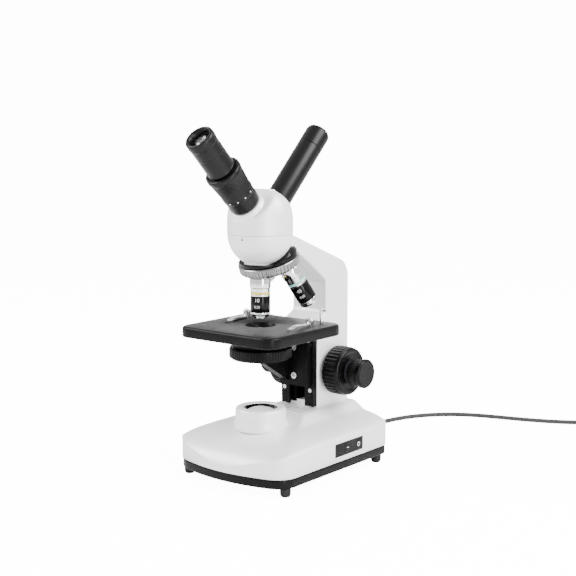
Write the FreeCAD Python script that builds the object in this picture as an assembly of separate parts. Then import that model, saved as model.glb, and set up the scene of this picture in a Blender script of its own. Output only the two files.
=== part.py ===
"""Compound teaching microscope with a front and a rear viewing tube, in millimetres, +Z up.

The object is drawn about its optical axis (x = 0, y = 0, z = 0 on the table) with the eyepiece of the
user towards -Y and the limb towards +Y.  Every piece is then moved by SHIFT_Y, so that the origin of
the finished model is the bottom centre of the instrument.
"""
import math
import os

import FreeCAD
import Part

V = FreeCAD.Vector
UP = V(0, 0, 1)
RIGHT = V(1, 0, 0)
BACK = V(0, 1, 0)

# ---- driving dimensions (mm) -------------------------------------------------------------------
# base
BASE_HALF = 70.0            # half width of the base
BASE_REAR = 122.0           # rear face, measured from the optical axis
BASE_FRONT = -60.5          # foremost point of the curved front
FRONT_ARC = 182.4           # radius of the curved front
FRONT_CORNER = 16.0
REAR_CORNER = 6.0
FOOT_X, FOOT_FRONT, FOOT_REAR = 62.0, -37.5, 111.7
FOOT_HEIGHT, FOOT_TOP, FOOT_BOTTOM = 8.5, 5.5, 4.8
CUT_FRONT = -90.0           # a plane clear of the front, where raw blocks and extrusions start
PLATE_TOP = 17.8            # seam between the bottom plate and the white shell
PLATE_INSET = 0.8
WALL = 3.0                  # wall of the shell
BOLT_TOP = 69.0             # upper end of the two bolts that hold the limb
SHOULDER = 41.0             # height where the side wall turns into the crown
CROWN = 53.6                # highest line of the crown
DECK_TOP = 61.0             # pad under the limb
DECK_HALF = 28.0
LAMP_RADIUS, LAMP_TOP, LAMP_WELL = 25.3, 71.0, 16.5
# limb
ARM_HALF = 22.0
ARM_FRONT_LOW = 64.5        # front face of the lower column
ARM_REAR = 117.0
ARM_FRONT_HIGH = 78.0       # front face of the upper column
KNOB_Y, KNOB_Z = 90.0, 97.0
# focusing
COARSE_R, FINE_R = 25.0, 15.0
SHAFT_R, FINE_SHAFT_R = 4.0, 2.0
PINION_MODULE, PINION_TEETH = 0.8, 12
RAIL_FRONT, RAIL_TOP, RAIL_FOOT = 58.0, 134.0, 62.0
SLIDE_LOW, SLIDE_HIGH = 84.0, 139.0
# stage
STAGE_HALF = 60.0
STAGE_FRONT, STAGE_REAR = -55.7, 57.6
STAGE_BOTTOM, STAGE_TOP = 142.0, 152.7
STAGE_HOLE = 15.0
CLIP_X, CLIP_Y = 41.0, 27.0
BRACKET_FRONT = 52.5        # front face of the bracket under the stage
FINGER_X, FINGER_Y = 46.5, 37.5
IRIS_R, IRIS_LOW, IRIS_HIGH = 31.0, 121.0, 131.5
# nosepiece
APEX = V(0, 0, 253.0)       # all objective axes and the turret axis cross here
TILT = math.radians(19.0)
RING_R = 30.6
TURRET_ROOM = 31.6          # radius kept free round the turning nosepiece
# head
SEAM_Z, HEAD_R = 242.7, 32.2
RIDGE_Z, RIDGE_HALF, GABLE_HALF = 286.0, 2.5, 17.0
FRONT_START = V(0, 0, 251.0)
REAR_START = V(0, 0, 247.0)
BORE = 11.65                # tube bore for a 23.2 mm eyepiece
SLEEVE = 11.6               # eyepiece sleeve radius
COLLAR_END, FRONT_END = 78.0, 122.0
REAR_SEAM, REAR_END, REAR_R = 109.0, 131.7, 12.5
# mains lead
CORD_R = 2.5
COIL_R = 27.5
RUN_FIT = 0.05              # radial clearance of a turning or sliding fit
SHIFT_Y = -13.34            # optical axis to the middle of the instrument's depth

SQ = math.sqrt(0.5)
FRONT_AXIS = V(0, -SQ, SQ)
REAR_AXIS = V(0, SQ, SQ)
TURRET_AXIS = V(0, math.sin(TILT), -math.cos(TILT))

NODES = {}


def keep(name, *shapes):
    """Put one or more separate solids away under a node name; a second call adds to the node."""
    pieces = NODES[name].Solids if name in NODES else []
    pieces = pieces + [solid for shape in shapes for solid in shape.Solids]
    NODES[name] = pieces[0] if len(pieces) == 1 else Part.makeCompound(pieces)


def rod(radius, start, axis, low, high):
    """A cylinder on an axis, from one distance along it to another."""
    return Part.makeCylinder(radius, high - low, start + axis * low, axis)


def tube(outer, inner, start, axis, low, high):
    return rod(outer, start, axis, low, high).cut(rod(inner, start, axis, low - 1, high + 1))


def block(x0, x1, y0, y1, z0, z1):
    return Part.makeBox(x1 - x0, y1 - y0, z1 - z0, V(x0, y0, z0))


def placed(shape, start, axis):
    """Turn a shape that was made along +Z so that it lies along an axis."""
    shape.Placement = FreeCAD.Placement(start, FreeCAD.Rotation(UP, axis)).multiply(shape.Placement)
    return shape


def turned(profile, start=V(0, 0, 0), axis=UP):
    """Revolve a closed outline of (radius, distance) pairs about an axis."""
    points = [V(r, 0, h) for r, h in profile]
    face = Part.Face(Part.makePolygon(points + points[:1]))
    return placed(face.revolve(V(0, 0, 0), UP, 360), start, axis)


def ribbed(outer, inner, ribs, low, high, start=V(0, 0, 0), axis=UP):
    """A straight-ribbed grip: an extruded star outline."""
    points = []
    for i in range(ribs):
        for part, radius in ((0.0, outer), (0.5, outer), (0.62, inner), (0.88, inner)):
            angle = 2 * math.pi * (i + part) / ribs
            points.append(V(radius * math.cos(angle), radius * math.sin(angle), low))
    face = Part.Face(Part.makePolygon(points + points[:1]))
    return placed(face.extrude(V(0, 0, high - low)), start, axis)


def side_profile(points, x0, x1):
    """Extrude an outline of (y, z) pairs along X."""
    outline = [V(x0, y, z) for y, z in points]
    return Part.Face(Part.makePolygon(outline + outline[:1])).extrude(V(x1 - x0, 0, 0))


def end_profile(points, y0, y1):
    """Extrude an outline of (x, z) pairs along Y."""
    outline = [V(x, y0, z) for x, z in points]
    return Part.Face(Part.makePolygon(outline + outline[:1])).extrude(V(0, y1 - y0, 0))


def crowned(wall, top, low, axis):
    """Solid under a curve through the points 'top', down to the level 'low', extruded along an axis."""
    curve = Part.BSplineCurve()
    curve.interpolate(top)
    start, end = top[0], top[-1]
    base_a, base_b = V(start.x, start.y, low), V(end.x, end.y, low)
    wire = Part.Wire([curve.toShape(), Part.makeLine(end, base_b), Part.makeLine(base_b, base_a),
                      Part.makeLine(base_a, start)])
    return Part.Face(wire).extrude(axis * wall)


def rounded(shape, radius, chosen):
    edges = [e for e in shape.Edges if chosen(e)]
    return shape.makeFillet(radius, edges)


def is_upright(edge):
    first, last = edge.Vertexes[0].Point, edge.Vertexes[-1].Point
    return abs(first.x - last.x) < 1e-4 and abs(first.y - last.y) < 1e-4 and abs(first.z - last.z) > 1


# ---- base --------------------------------------------------------------------------------------
def base_prism(inset, low, high):
    """Upright block with the outline of the base, drawn in by an inset."""
    half, rear = BASE_HALF - inset, BASE_REAR - inset
    body = block(-half, half, CUT_FRONT, rear, low, high)
    arc_centre = V(0, BASE_FRONT + FRONT_ARC, low)
    body = body.common(Part.makeCylinder(FRONT_ARC - inset, high - low, arc_centre))
    body = rounded(body, FRONT_CORNER - inset, lambda e: is_upright(e) and e.Vertexes[0].Y < 0)
    rear_corner = max(REAR_CORNER - inset, 1.0)
    return rounded(body, rear_corner, lambda e: is_upright(e) and e.Vertexes[0].Y > rear - 1)


def shell_body(inset):
    """The pillow-shaped block of the shell; an inset gives the inner face of its wall."""
    low = PLATE_TOP
    body = base_prism(inset, low, DECK_TOP + 5)
    front = BASE_FRONT + inset
    # heights of the crown from front to rear, then from side to side
    lengthwise = [(front, low + 7 + inset), (front + 3.5, 31.5), (front + 10.5, 38.0), (front + 21, 43.5),
                  (front + 38, 48.5), (0, 51.5), (40, CROWN), (130, CROWN)]
    top = [V(-80, y, z - inset) for y, z in lengthwise]
    body = body.common(crowned(160, top, low, RIGHT))
    half = BASE_HALF - inset
    fall = [(half, SHOULDER - 2), (half - 3, SHOULDER + 1.8), (half - 8, SHOULDER + 4.4),
            (half - 25, SHOULDER + 9), (half - 44, CROWN - 1)]
    crosswise = [(-x, z) for x, z in fall] + [(0, CROWN)] + fall[::-1]
    top = [V(x, CUT_FRONT, z - inset) for x, z in crosswise]
    body = body.common(crowned(230, top, low, BACK))
    # the pad under the limb, with sloping sides and a ramp in front
    deck_top, deck_low, deck_rear = DECK_TOP - inset, 40.0, BASE_REAR - 1
    deck_foot, ramp_start, ramp_end = 46.0 - inset, 4.0, 34.0
    deck = end_profile([(-deck_foot, deck_low), (-DECK_HALF, deck_top), (DECK_HALF, deck_top),
                        (deck_foot, deck_low)], ramp_start, deck_rear)
    ramp = [(ramp_start, deck_low), (deck_rear - inset, deck_low), (deck_rear - inset, deck_top),
            (ramp_end, deck_top), (ramp_start, 50.0 - inset)]
    deck = deck.common(side_profile(ramp, -60, 60))
    return body.fuse(deck).removeSplitter()


def make_base():
    plate = base_prism(PLATE_INSET, FOOT_HEIGHT, PLATE_TOP)
    plate = plate.cut(base_prism(PLATE_INSET + 3, FOOT_HEIGHT + 2.5, PLATE_TOP + 1))
    shell = shell_body(0).cut(shell_body(WALL))
    lamp_seat = rod(LAMP_RADIUS, V(0, 0, 0), UP, PLATE_TOP, 90)
    shell = shell.cut(lamp_seat)
    for i in range(3):
        y = 36 + 6.5 * i
        shell = shell.cut(block(-14, 14, y, y + 2.2, 50, 70))
    shell = shell.cut(block(BASE_HALF - 8, BASE_HALF + 1, 30, 77, 23, 37))
    shell = shell.cut(rod(6.0, V(-20, 0, 30), BACK, BASE_REAR - 12, BASE_REAR + 2))
    bolt_holes = [rod(3.2, V(0, y, 0), UP, DECK_TOP - 6, DECK_TOP + 1) for y in (80.0, 104.0)]
    for hole in bolt_holes:
        shell = shell.cut(hole)
    screw_places = [(x, y) for x in (-52.0, 52.0) for y in (-34.0, 108.0)]
    for x, y in screw_places:
        plate = plate.cut(rod(1.9, V(x, y, 0), UP, FOOT_HEIGHT - 1, FOOT_HEIGHT + 3))
    for x, y in [(-41, 44), (-41, 96), (1, 44), (1, 96)]:
        plate = plate.fuse(rod(2.2, V(x, y, 0), UP, FOOT_HEIGHT + 2.0, 16.4))
    keep("base_plate", plate)
    keep("base_shell", shell)
    seat = FOOT_HEIGHT - 0.05
    screw = [(0, seat - 1.55), (3.2, seat - 1.55), (3.2, seat), (1.55, seat), (1.55, seat + 12),
             (0, seat + 12)]
    keep("base_fasteners", *[turned(screw, V(x, y, 0)) for x, y in screw_places])
    foot = [(0, 0), (FOOT_BOTTOM - 0.5, 0), (FOOT_BOTTOM, 0.5), (FOOT_TOP, seat), (0, seat)]
    for side, y in ((-1, FOOT_FRONT), (1, FOOT_FRONT), (-1, FOOT_REAR), (1, FOOT_REAR)):
        keep("rubber_feet", turned(foot, V(side * FOOT_X, y, 0)))


def make_lamp():
    r, top, well, foot = LAMP_RADIUS - 0.1, LAMP_TOP, LAMP_WELL, 22.0
    lens_r, lens_curve = 13.1, 30.0
    housing = [(well + 3, foot), (r, foot), (r, top - 2.5), (r - 0.8, top - 0.8), (r - 2.4, top),
               (well, top), (well, top - 6), (well + 3, top - 6)]
    keep("lamp_housing", turned(housing))
    keep("lens_ring", turned([(lens_r + 0.1, top - 5.8), (well - 0.1, top - 5.8), (well - 0.1, top - 2.4),
                              (15.0, top - 2.4), (lens_r + 0.1, top - 3.6)]))
    ball = Part.makeSphere(lens_curve, V(0, 0, top - 2.6 - lens_curve))
    keep("collector_lens", ball.common(rod(lens_r, V(0, 0, 0), UP, top - 11, top)))
    keep("lamp_socket", turned([(0, 26), (14, 26), (14, 30), (5.5, 30), (5.5, 38), (0, 38)]))
    led_r, led_low, led_shoulder = 4.0, 38.05, 43.0
    dome = Part.makeSphere(led_r, V(0, 0, led_shoulder))
    dome = dome.common(rod(led_r + 1, V(0, 0, 0), UP, led_shoulder, led_shoulder + 5))
    keep("lamp_bulb", rod(led_r, V(0, 0, 0), UP, led_low, led_shoulder).fuse(dome))
    keep("power_board", block(-45, 5, 40, 100, 16.5, 18.1))
    keep("power_board", block(-38, -8, 52, 84, 18.2, 40))


def make_switch():
    x = BASE_HALF
    frame = block(x - 7.9, x - 0.6, 30.1, 76.9, 23.1, 36.9)
    keep("switch_panel", frame.cut(block(x - 6, x + 1, 45, 75, 24.6, 35.4)))
    wedge = Part.Face(Part.makePolygon([V(x - 4.0, 45.6, 25), V(x - 0.9, 45.6, 25), V(x - 2.2, 60, 25),
                                        V(x + 0.0, 74.4, 25), V(x - 4.0, 74.4, 25), V(x - 4.0, 45.6, 25)]))
    rocker = wedge.extrude(V(0, 0, 10))
    keep("power_switch", rocker.fuse(rod(1.0, V(x - 4.2, 60, 0), UP, 25.0, 35.0)))


# ---- limb --------------------------------------------------------------------------------------
def make_limb():
    outline = [(ARM_FRONT_LOW, DECK_TOP), (ARM_REAR, DECK_TOP), (ARM_REAR, 196), (115, 204), (108, 208.5),
               (26, 240.5), (14, 240.5), (14, 222), (38, 219), (51, 210), (ARM_FRONT_HIGH, 190),
               (ARM_FRONT_HIGH, 156), (74, 150), (ARM_FRONT_LOW, 150)]

    def is_soft(edge):
        on_side = abs(abs(edge.CenterOfMass.x) - ARM_HALF) < 0.01
        above_deck = edge.BoundBox.YMin > ARM_FRONT_LOW - 1 and edge.BoundBox.ZMin > DECK_TOP + 0.5
        behind = is_upright(edge) and edge.CenterOfMass.y > ARM_REAR - 1
        return on_side and (above_deck or behind)
    arm = rounded(side_profile(outline, -ARM_HALF, ARM_HALF), 2.5, is_soft)
    bowl = Part.makeSphere(HEAD_R - 0.2, V(0, 0, SEAM_Z)).common(rod(40, V(0, 0, 0), UP, 213.8, SEAM_Z))
    arm = arm.fuse(bowl).fuse(rod(13.2, V(0, 0, 0), UP, 212.3, 214.5))
    pad = APEX + TURRET_AXIS * 39.6
    below_pad = placed(Part.makeCylinder(60, 60), pad, TURRET_AXIS)
    arm = arm.cut(below_pad.common(rod(31, V(0, 0, 0), UP, 190, 222)))
    arm = arm.cut(rod(TURRET_ROOM, APEX, TURRET_AXIS, 36.9, 60))
    hollow = Part.makeSphere(28.4, V(0, 0, SEAM_Z + 0.5))
    hollow = hollow.common(rod(40, V(0, 0, 0), UP, 218, SEAM_Z + 5))
    arm = arm.cut(hollow).cut(rod(27.8, V(0, 0, 0), UP, SEAM_Z - 6, SEAM_Z + 6))
    arm = arm.cut(rod(9.0, V(0, 0, 0), UP, 205, 230))
    arm = arm.cut(rod(10.0, V(0, KNOB_Y, KNOB_Z), RIGHT, -30, 30))
    arm = arm.cut(block(-6, 6, ARM_FRONT_LOW - 1, 96.5, 66, 146))
    for y in (80.0, 104.0):
        arm = arm.cut(rod(2.6, V(0, y, 0), UP, DECK_TOP - 1, DECK_TOP + 16))
    set_screw_start = V(0, 0, SEAM_Z - 3.2)
    set_screw_axis = V(0.14, -1, 0).normalize()
    arm = arm.cut(rod(1.55, set_screw_start, set_screw_axis, 26, 34))
    keep("limb", arm)
    keep("limb_screws", rod(1.5, set_screw_start, set_screw_axis, 28.2, 31.4))
    head_top = DECK_TOP - WALL - 0.1
    bolt = [(0, 53.0), (5.0, 53.0), (5.0, head_top), (2.5, head_top), (2.5, BOLT_TOP), (0, BOLT_TOP)]
    keep("base_fasteners", *[turned(bolt, V(0, y, 0)) for y in (80.0, 104.0)])
    for side in (-1, 1):
        start, axis, bore = V(0, KNOB_Y, KNOB_Z), RIGHT * side, SHAFT_R + RUN_FIT
        collar = tube(13.5, bore, start, axis, ARM_HALF + 0.05, ARM_HALF + 2.6)
        keep("shaft_bushes", tube(9.95, bore, start, axis, 7, ARM_HALF).fuse(collar))


def make_guide():
    """Fixed guide with a T-slot, the sliding block that runs in it and its rack."""
    back, front = ARM_FRONT_LOW - 0.05, RAIL_FRONT
    rail = block(-20.5, 20.5, front, back, RAIL_FOOT, RAIL_TOP)
    rail = rail.cut(block(-10.0, 10.0, front - 1, back + 1, RAIL_FOOT - 1, RAIL_TOP + 1))
    rail = rail.cut(block(-13.0, 13.0, 60.8, back + 1, RAIL_FOOT - 1, RAIL_TOP + 1))
    places = [V(side * 16.6, front, z) for side in (-1, 1) for z in (78.5, 126.0)]
    for place in places:
        rail = rail.cut(rod(2.15, place, BACK, -1, 0.6))
    keep("guide_rails", *rail.Solids)
    keep("limb_screws", *[rod(2.1, place, BACK, 0.05, 0.55) for place in places])
    neck = block(-9.9, 9.9, front, 61.5, SLIDE_LOW, SLIDE_HIGH)
    tongue = block(-12.9, 12.9, 60.9, 63.6, SLIDE_LOW, SLIDE_HIGH)
    keep("slide_block", neck.fuse(tongue).removeSplitter())
    pitch = math.pi * PINION_MODULE
    line = KNOB_Y - PINION_MODULE * PINION_TEETH / 2       # pitch line of the rack
    above, below, tan_a = 0.36, 0.78, math.tan(math.radians(20))
    tip, root = line + above, line - below
    half = pitch / 4 - 0.12
    rack_back, rack_low, rack_high = 63.65, 88.0, 138.0
    points = [(rack_back, rack_low), (root, rack_low)]
    first = math.ceil((rack_low - KNOB_Z) / pitch) + 1
    last = math.floor((rack_high - KNOB_Z) / pitch) - 1
    for k in range(first, last + 1):
        z = KNOB_Z + k * pitch
        points += [(root, z - half - below * tan_a), (tip, z - half + above * tan_a),
                   (tip, z + half - above * tan_a), (root, z + half + below * tan_a)]
    points += [(root, rack_high), (rack_back, rack_high)]
    keep("rack", side_profile(points, -4.0, 4.0))


def make_drive():
    """Coarse shaft with its pinion, the knobs on both sides and the fine shaft inside."""
    centre = V(0, KNOB_Y, KNOB_Z)
    pitch_r = PINION_MODULE * PINION_TEETH / 2
    base_r = pitch_r * math.cos(math.radians(20))
    tip_r, root_r = pitch_r + 0.56, pitch_r - 0.62

    def involute(radius):
        roll = math.sqrt(max(radius * radius / (base_r * base_r) - 1, 0))
        return roll - math.atan(roll)
    half = math.pi / 2 / PINION_TEETH - 0.12 / pitch_r
    outline = []
    for k in range(PINION_TEETH):
        # a gap of the pinion faces each tooth of the rack
        middle = math.pi + 2 * math.pi * (k + 0.5) / PINION_TEETH
        flank = [base_r, (base_r + tip_r) / 2, tip_r]
        angles = [half + involute(pitch_r) - involute(r) for r in flank]
        outline.append((root_r, middle - angles[0] - 0.02))
        outline += [(r, middle - a) for r, a in zip(flank, angles)]
        outline += [(r, middle + a) for r, a in zip(reversed(flank), reversed(angles))]
        outline.append((root_r, middle + angles[0] + 0.02))
    points = [V(-4.5, KNOB_Y + r * math.cos(a), KNOB_Z + r * math.sin(a)) for r, a in outline]
    gear = Part.Face(Part.makePolygon(points + points[:1])).extrude(V(9, 0, 0))
    shaft = rod(SHAFT_R, centre, RIGHT, -34, 34).fuse(gear)
    keep("coarse_shaft", shaft.cut(rod(FINE_SHAFT_R + RUN_FIT, centre, RIGHT, -40, 40)))
    keep("fine_shaft", rod(FINE_SHAFT_R, centre, RIGHT, -60, 60))
    for side, word in ((-1, "left"), (1, "right")):
        axis = RIGHT * side
        r = COARSE_R
        grip = ribbed(r, r - 0.7, 40, 26.5, 42.5, centre, axis)
        body = [(SHAFT_R, 25.5), (r - 1, 25.5), (r - 0.6, 26.5), (r - 0.6, 42.5), (r - 1.2, 44.6),
                (r - 3, 45.4), (SHAFT_R, 45.4)]
        grip = grip.fuse(turned(body, centre, axis))
        grip = grip.cut(rod(SHAFT_R, centre, axis, 20, 34.1))
        keep("coarse_knob_" + word, grip.cut(rod(FINE_SHAFT_R + 0.4, centre, axis, 33, 50)))
        keep("tension_rings", tube(12.5, FINE_SHAFT_R + RUN_FIT, centre, axis, 45.5, 48.4))
        r, end = FINE_R, 65.3
        knob = ribbed(r - 0.1, r - 0.6, 30, 50.5, 60.5, centre, axis)
        knob = knob.fuse(turned([(0, 48.6), (r - 1.4, 48.6), (r - 0.7, 50.5), (r - 0.7, 60.5), (r, 61.2),
                                 (r, 63.6), (r - 1.4, end), (0, end)], centre, axis))
        keep("fine_knob_" + word, knob.cut(rod(FINE_SHAFT_R, centre, axis, 48, 60.05)))


# ---- stage -------------------------------------------------------------------------------------
def make_stage():
    plate = block(-STAGE_HALF, STAGE_HALF, STAGE_FRONT, STAGE_REAR, STAGE_BOTTOM, STAGE_TOP)
    plate = rounded(plate, 10.0, is_upright)
    plate = rounded(plate, 2.6, lambda e: e.BoundBox.ZMin > STAGE_TOP - 0.01)
    plate = rounded(plate, 1.2, lambda e: e.BoundBox.ZMax < STAGE_BOTTOM + 0.01)
    plate = plate.cut(rod(STAGE_HOLE, V(0, 0, 0), UP, STAGE_BOTTOM - 1, STAGE_TOP + 1))
    for side in (-1, 1):
        plate = plate.cut(rod(2.0, V(side * CLIP_X, CLIP_Y, 0), UP, STAGE_TOP - 6, STAGE_TOP + 1))
    plate = plate.cut(rod(1.7, V(FINGER_X, FINGER_Y, 0), UP, STAGE_TOP - 5, STAGE_TOP + 1))
    keep("stage_plate", plate)

    upright = block(-18.0, 18.0, BRACKET_FRONT, 57.9, 83.0, 139.0)
    web = side_profile([(BRACKET_FRONT + 0.5, 133.9), (33.0, 133.9), (33.0, 119.0), (10, 119.0), (10, 113.5),
                        (18.6, 108.0), (BRACKET_FRONT + 0.5, 87.0)], -16.0, -7.0)
    flange = block(-30.0, 30.0, 33.0, 57.6, 133.8, STAGE_BOTTOM - 0.05)
    bracket = upright.fuse(web).fuse(flange).removeSplitter()
    seat = BRACKET_FRONT + 3.0
    for z in (93.2, 122.5):
        start = V(0, 0, z)
        bracket = bracket.cut(rod(2.05, start, BACK, 50, 60)).cut(rod(3.6, start, BACK, 50, seat))
        bolt = rod(3.3, start, BACK, BRACKET_FRONT - 0.3, seat - 0.02).fuse(rod(2.0, start, BACK, seat - 0.1, 57.9))
        keep("stage_fasteners", bolt.cut(rod(1.5, start, BACK, 50, BRACKET_FRONT + 1.8)))
    for x in (-23.0, 23.0):
        place = V(x, 45, 0)
        bracket = bracket.cut(rod(1.45, place, UP, 130, 143))
        keep("stage_fasteners", rod(2.6, place, UP, 131.6, 133.75).fuse(rod(1.4, place, UP, 133.7, 141.9)))
    keep("stage_bracket", bracket)

    top = STAGE_BOTTOM - 0.1
    housing = [(14.5, 119.5), (28.5, 119.5), (28.5, 120.7), (23.9, 120.7), (23.9, 132.0), (27.0, 132.0),
               (27.0, top), (12.5, top), (12.5, 126.5), (14.5, 126.5), (14.5, 124.4), (4.0, 124.4),
               (4.0, 123.6), (14.5, 123.6)]
    keep("condenser_housing", turned(housing))
    lens = Part.makeSphere(22, V(0, 0, 150.2 - 22)).common(rod(12.4, V(0, 0, 0), UP, 136.5, 152))
    keep("condenser_lens", lens)
    ring = ribbed(IRIS_R, IRIS_R - 0.6, 60, IRIS_LOW + 0.6, IRIS_HIGH - 0.9).fuse(
        turned([(24.0, IRIS_LOW), (30.2, IRIS_LOW), (30.2, IRIS_HIGH), (24.0, IRIS_HIGH)]))
    keep("iris_ring", ring.cut(rod(23.9 + RUN_FIT, V(0, 0, 0), UP, 100, 140)))

    for side, word, swing in ((-1, "left", 8.0), (1, "right", 3.5)):
        pivot = V(side * CLIP_X, CLIP_Y, 0)
        top = STAGE_TOP
        strip = [V(0, 6, top + 0.5), V(0, -16, top + 0.5), V(0, -28, top + 1.9), V(0, -33, top + 0.35),
                 V(0, -37, top + 2.0)]
        lower = [V(-3.5, p.y, p.z) for p in strip]
        upper = [V(-3.5, p.y, p.z + 0.8) for p in reversed(strip)]
        clip = Part.Face(Part.makePolygon(lower + upper + lower[:1])).extrude(V(7, 0, 0))
        clip = clip.cut(rod(2.0 + RUN_FIT, V(0, 0, 0), UP, top - 1, top + 5))
        clip.rotate(V(0, 0, 0), UP, swing)
        clip.translate(pivot)
        keep("stage_clip_" + word, clip)
        keep("clip_nuts", turned([(2.0, top + 1.5), (3.9, top + 1.5), (3.9, top + 7.0), (3.4, top + 7.6),
                                  (2.0, top + 7.6)], pivot))
        keep("stage_posts", rod(2.0, pivot, UP, top - 5.9, top + 8.8))
    lever_axis = V(1, -0.15, 0).normalize()
    lever = rod(0.9, V(FINGER_X, FINGER_Y, STAGE_TOP + 14.5), lever_axis, 0.5, 8.0)
    pin = rod(1.7, V(FINGER_X, FINGER_Y, 0), UP, STAGE_TOP - 4.9, STAGE_TOP + 16.5)
    keep("stage_posts", pin.fuse(lever))


# ---- nosepiece ---------------------------------------------------------------------------------
def objective_axis(turn):
    """Direction of an objective after the turret has been turned from the working place."""
    return FreeCAD.Rotation(TURRET_AXIS, turn).multVec(V(0, 0, -1))


def make_nosepiece():
    collar = turned([(0, 28.5), (26.5, 28.5), (29.3, 32.5), (29.5, 37.0), (25.4, 37.0), (25.4, 40.8),
                     (0, 40.8)], APEX, TURRET_AXIS)
    collar = collar.cut(Part.makeSphere(HEAD_R - 0.15, V(0, 0, SEAM_Z))).cut(NODES["limb"])
    collar = collar.cut(rod(9.0, V(0, 0, 0), UP, 190, 240)).cut(rod(4.0, APEX, TURRET_AXIS, 20, 60))
    keep("nosepiece_mount", *collar.Solids)
    turret = turned([(0, 41.1), (25.8, 41.1), (25.8, 37.3), (29.0, 37.3), (29.0, 46.0), (26.5, 47.6),
                     (10, 52.4), (0, 52.4)], APEX, TURRET_AXIS)
    for turn in (0, 120, 240):
        axis = objective_axis(turn)
        turret = turret.fuse(rod(10.8, APEX, axis, 47.5, 54.0))
    turret = turret.cut(turned([(0, 36), (25.8, 36), (25.8, 41.1), (0, 41.1)], APEX, TURRET_AXIS))
    for turn in (0, 120, 240):
        axis = objective_axis(turn)
        turret = turret.cut(rod(9.1, APEX, axis, 36, 60))
    turret = turret.cut(rod(4.0 + RUN_FIT, APEX, TURRET_AXIS, 30, 60)).removeSplitter()
    keep("nosepiece_turret", turret)
    keep("turret_axle", rod(4.0, APEX, TURRET_AXIS, 38, 52.5).fuse(
        turned([(0, 52.5), (6.5, 52.5), (6.5, 53.6), (5.0, 54.6), (0, 54.6)], APEX, TURRET_AXIS)))
    grip = ribbed(RING_R, RING_R - 0.6, 72, 38.6, 45.2, APEX, TURRET_AXIS).fuse(
        turned([(29.05, 37.4), (30.2, 37.4), (30.2, 46.0), (29.05, 46.0)], APEX, TURRET_AXIS))
    keep("turret_grip_ring", grip.cut(rod(29.05, APEX, TURRET_AXIS, 30, 50)))

    # name, turn, tip distance, tip radius, painted ring from/to, sleeve from/to
    make_objective("ten", 0, 92.9, 6.8, (67.1, 69.3), (71.2, 87.2))
    make_objective("forty", 240, 98.3, 5.0, (68.4, 70.6), (72.5, 91.0))
    make_objective("four", 120, 71.0, 7.5, (62.5, 64.5), None)


def make_objective(name, turn, tip, tip_r, ring, sleeve):
    """A barrel with a groove for its painted ring; a long one also carries a sleeve."""
    axis = objective_axis(turn)
    r, seat_r, lens_r = 9.65, 8.45, 5.0
    body = [(lens_r, 48.0), (9.05, 48.0), (9.05, 54.05), (10.3, 54.05)]
    groove = [(r - 0.5, ring[0]), (r - 0.5, ring[1]), (r, ring[1])]
    mouth = [(tip_r, tip), (4.0, tip), (4.0, tip - 2), (lens_r, tip - 5)]
    if sleeve:
        body += [(10.3, 63.3), (r, 63.3), (r, ring[0])] + groove
        body += [(r, sleeve[0]), (seat_r, sleeve[0]), (seat_r, sleeve[1]), (r, sleeve[1])]
        body += [(r, tip - 3.2), (r - 2.0, tip - 1.4)] + mouth
        cover = [(seat_r, sleeve[0]), (r, sleeve[0]), (r, sleeve[1]), (seat_r, sleeve[1])]
        keep("objective_sleeves", turned(cover, APEX, axis))
    else:
        body += [(10.3, ring[0])] + groove + [(r, 68.5)] + mouth
    keep("objective_" + name + "_barrel", turned(body, APEX, axis))
    lens = [(0, tip - 3.5), (3.9, tip - 1.9), (3.9, tip - 0.4), (0, tip - 0.1)]
    keep("objective_lenses", turned(lens, APEX, axis))


# ---- head --------------------------------------------------------------------------------------
def make_head():
    low = SEAM_Z + 0.2
    dome = rod(HEAD_R, V(0, 0, 0), UP, low, 253).fuse(
        Part.makeSphere(HEAD_R, V(0, 0, 253)).common(rod(40, V(0, 0, 0), UP, 253, 290)))
    drop = HEAD_R + 1
    gable = [(-RIDGE_HALF, RIDGE_Z), (-RIDGE_HALF - drop, RIDGE_Z - drop), (-RIDGE_HALF - drop, low),
             (RIDGE_HALF + drop, low), (RIDGE_HALF + drop, RIDGE_Z - drop), (RIDGE_HALF, RIDGE_Z)]
    dome = dome.common(side_profile(gable, -40, 40))
    wedge = side_profile(gable, -GABLE_HALF, GABLE_HALF).common(rod(HEAD_R, V(0, 0, 0), UP, low, 300))
    head = dome.fuse(wedge).removeSplitter()
    cavity = rod(26.5, V(0, 0, 0), UP, low - 1, 260).fuse(block(-13.5, 13.5, -13.5, 13.5, 250, 274))
    head = head.cut(cavity)
    head = head.cut(rod(13.0, FRONT_START, FRONT_AXIS, 15, 60))
    head = head.cut(rod(REAR_R, REAR_START, REAR_AXIS, 15, 60))
    keep("head_housing", head)
    keep("head_dovetail", turned([(13, 238.6), (27.2, 238.6), (25.9, 242.4), (25.9, 246), (13, 246)]))
    keep("beam_splitter", block(-10.5, 10.5, -10.5, 10.5, 246.05, 262))

    make_front_tube()
    make_rear_tube()


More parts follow.
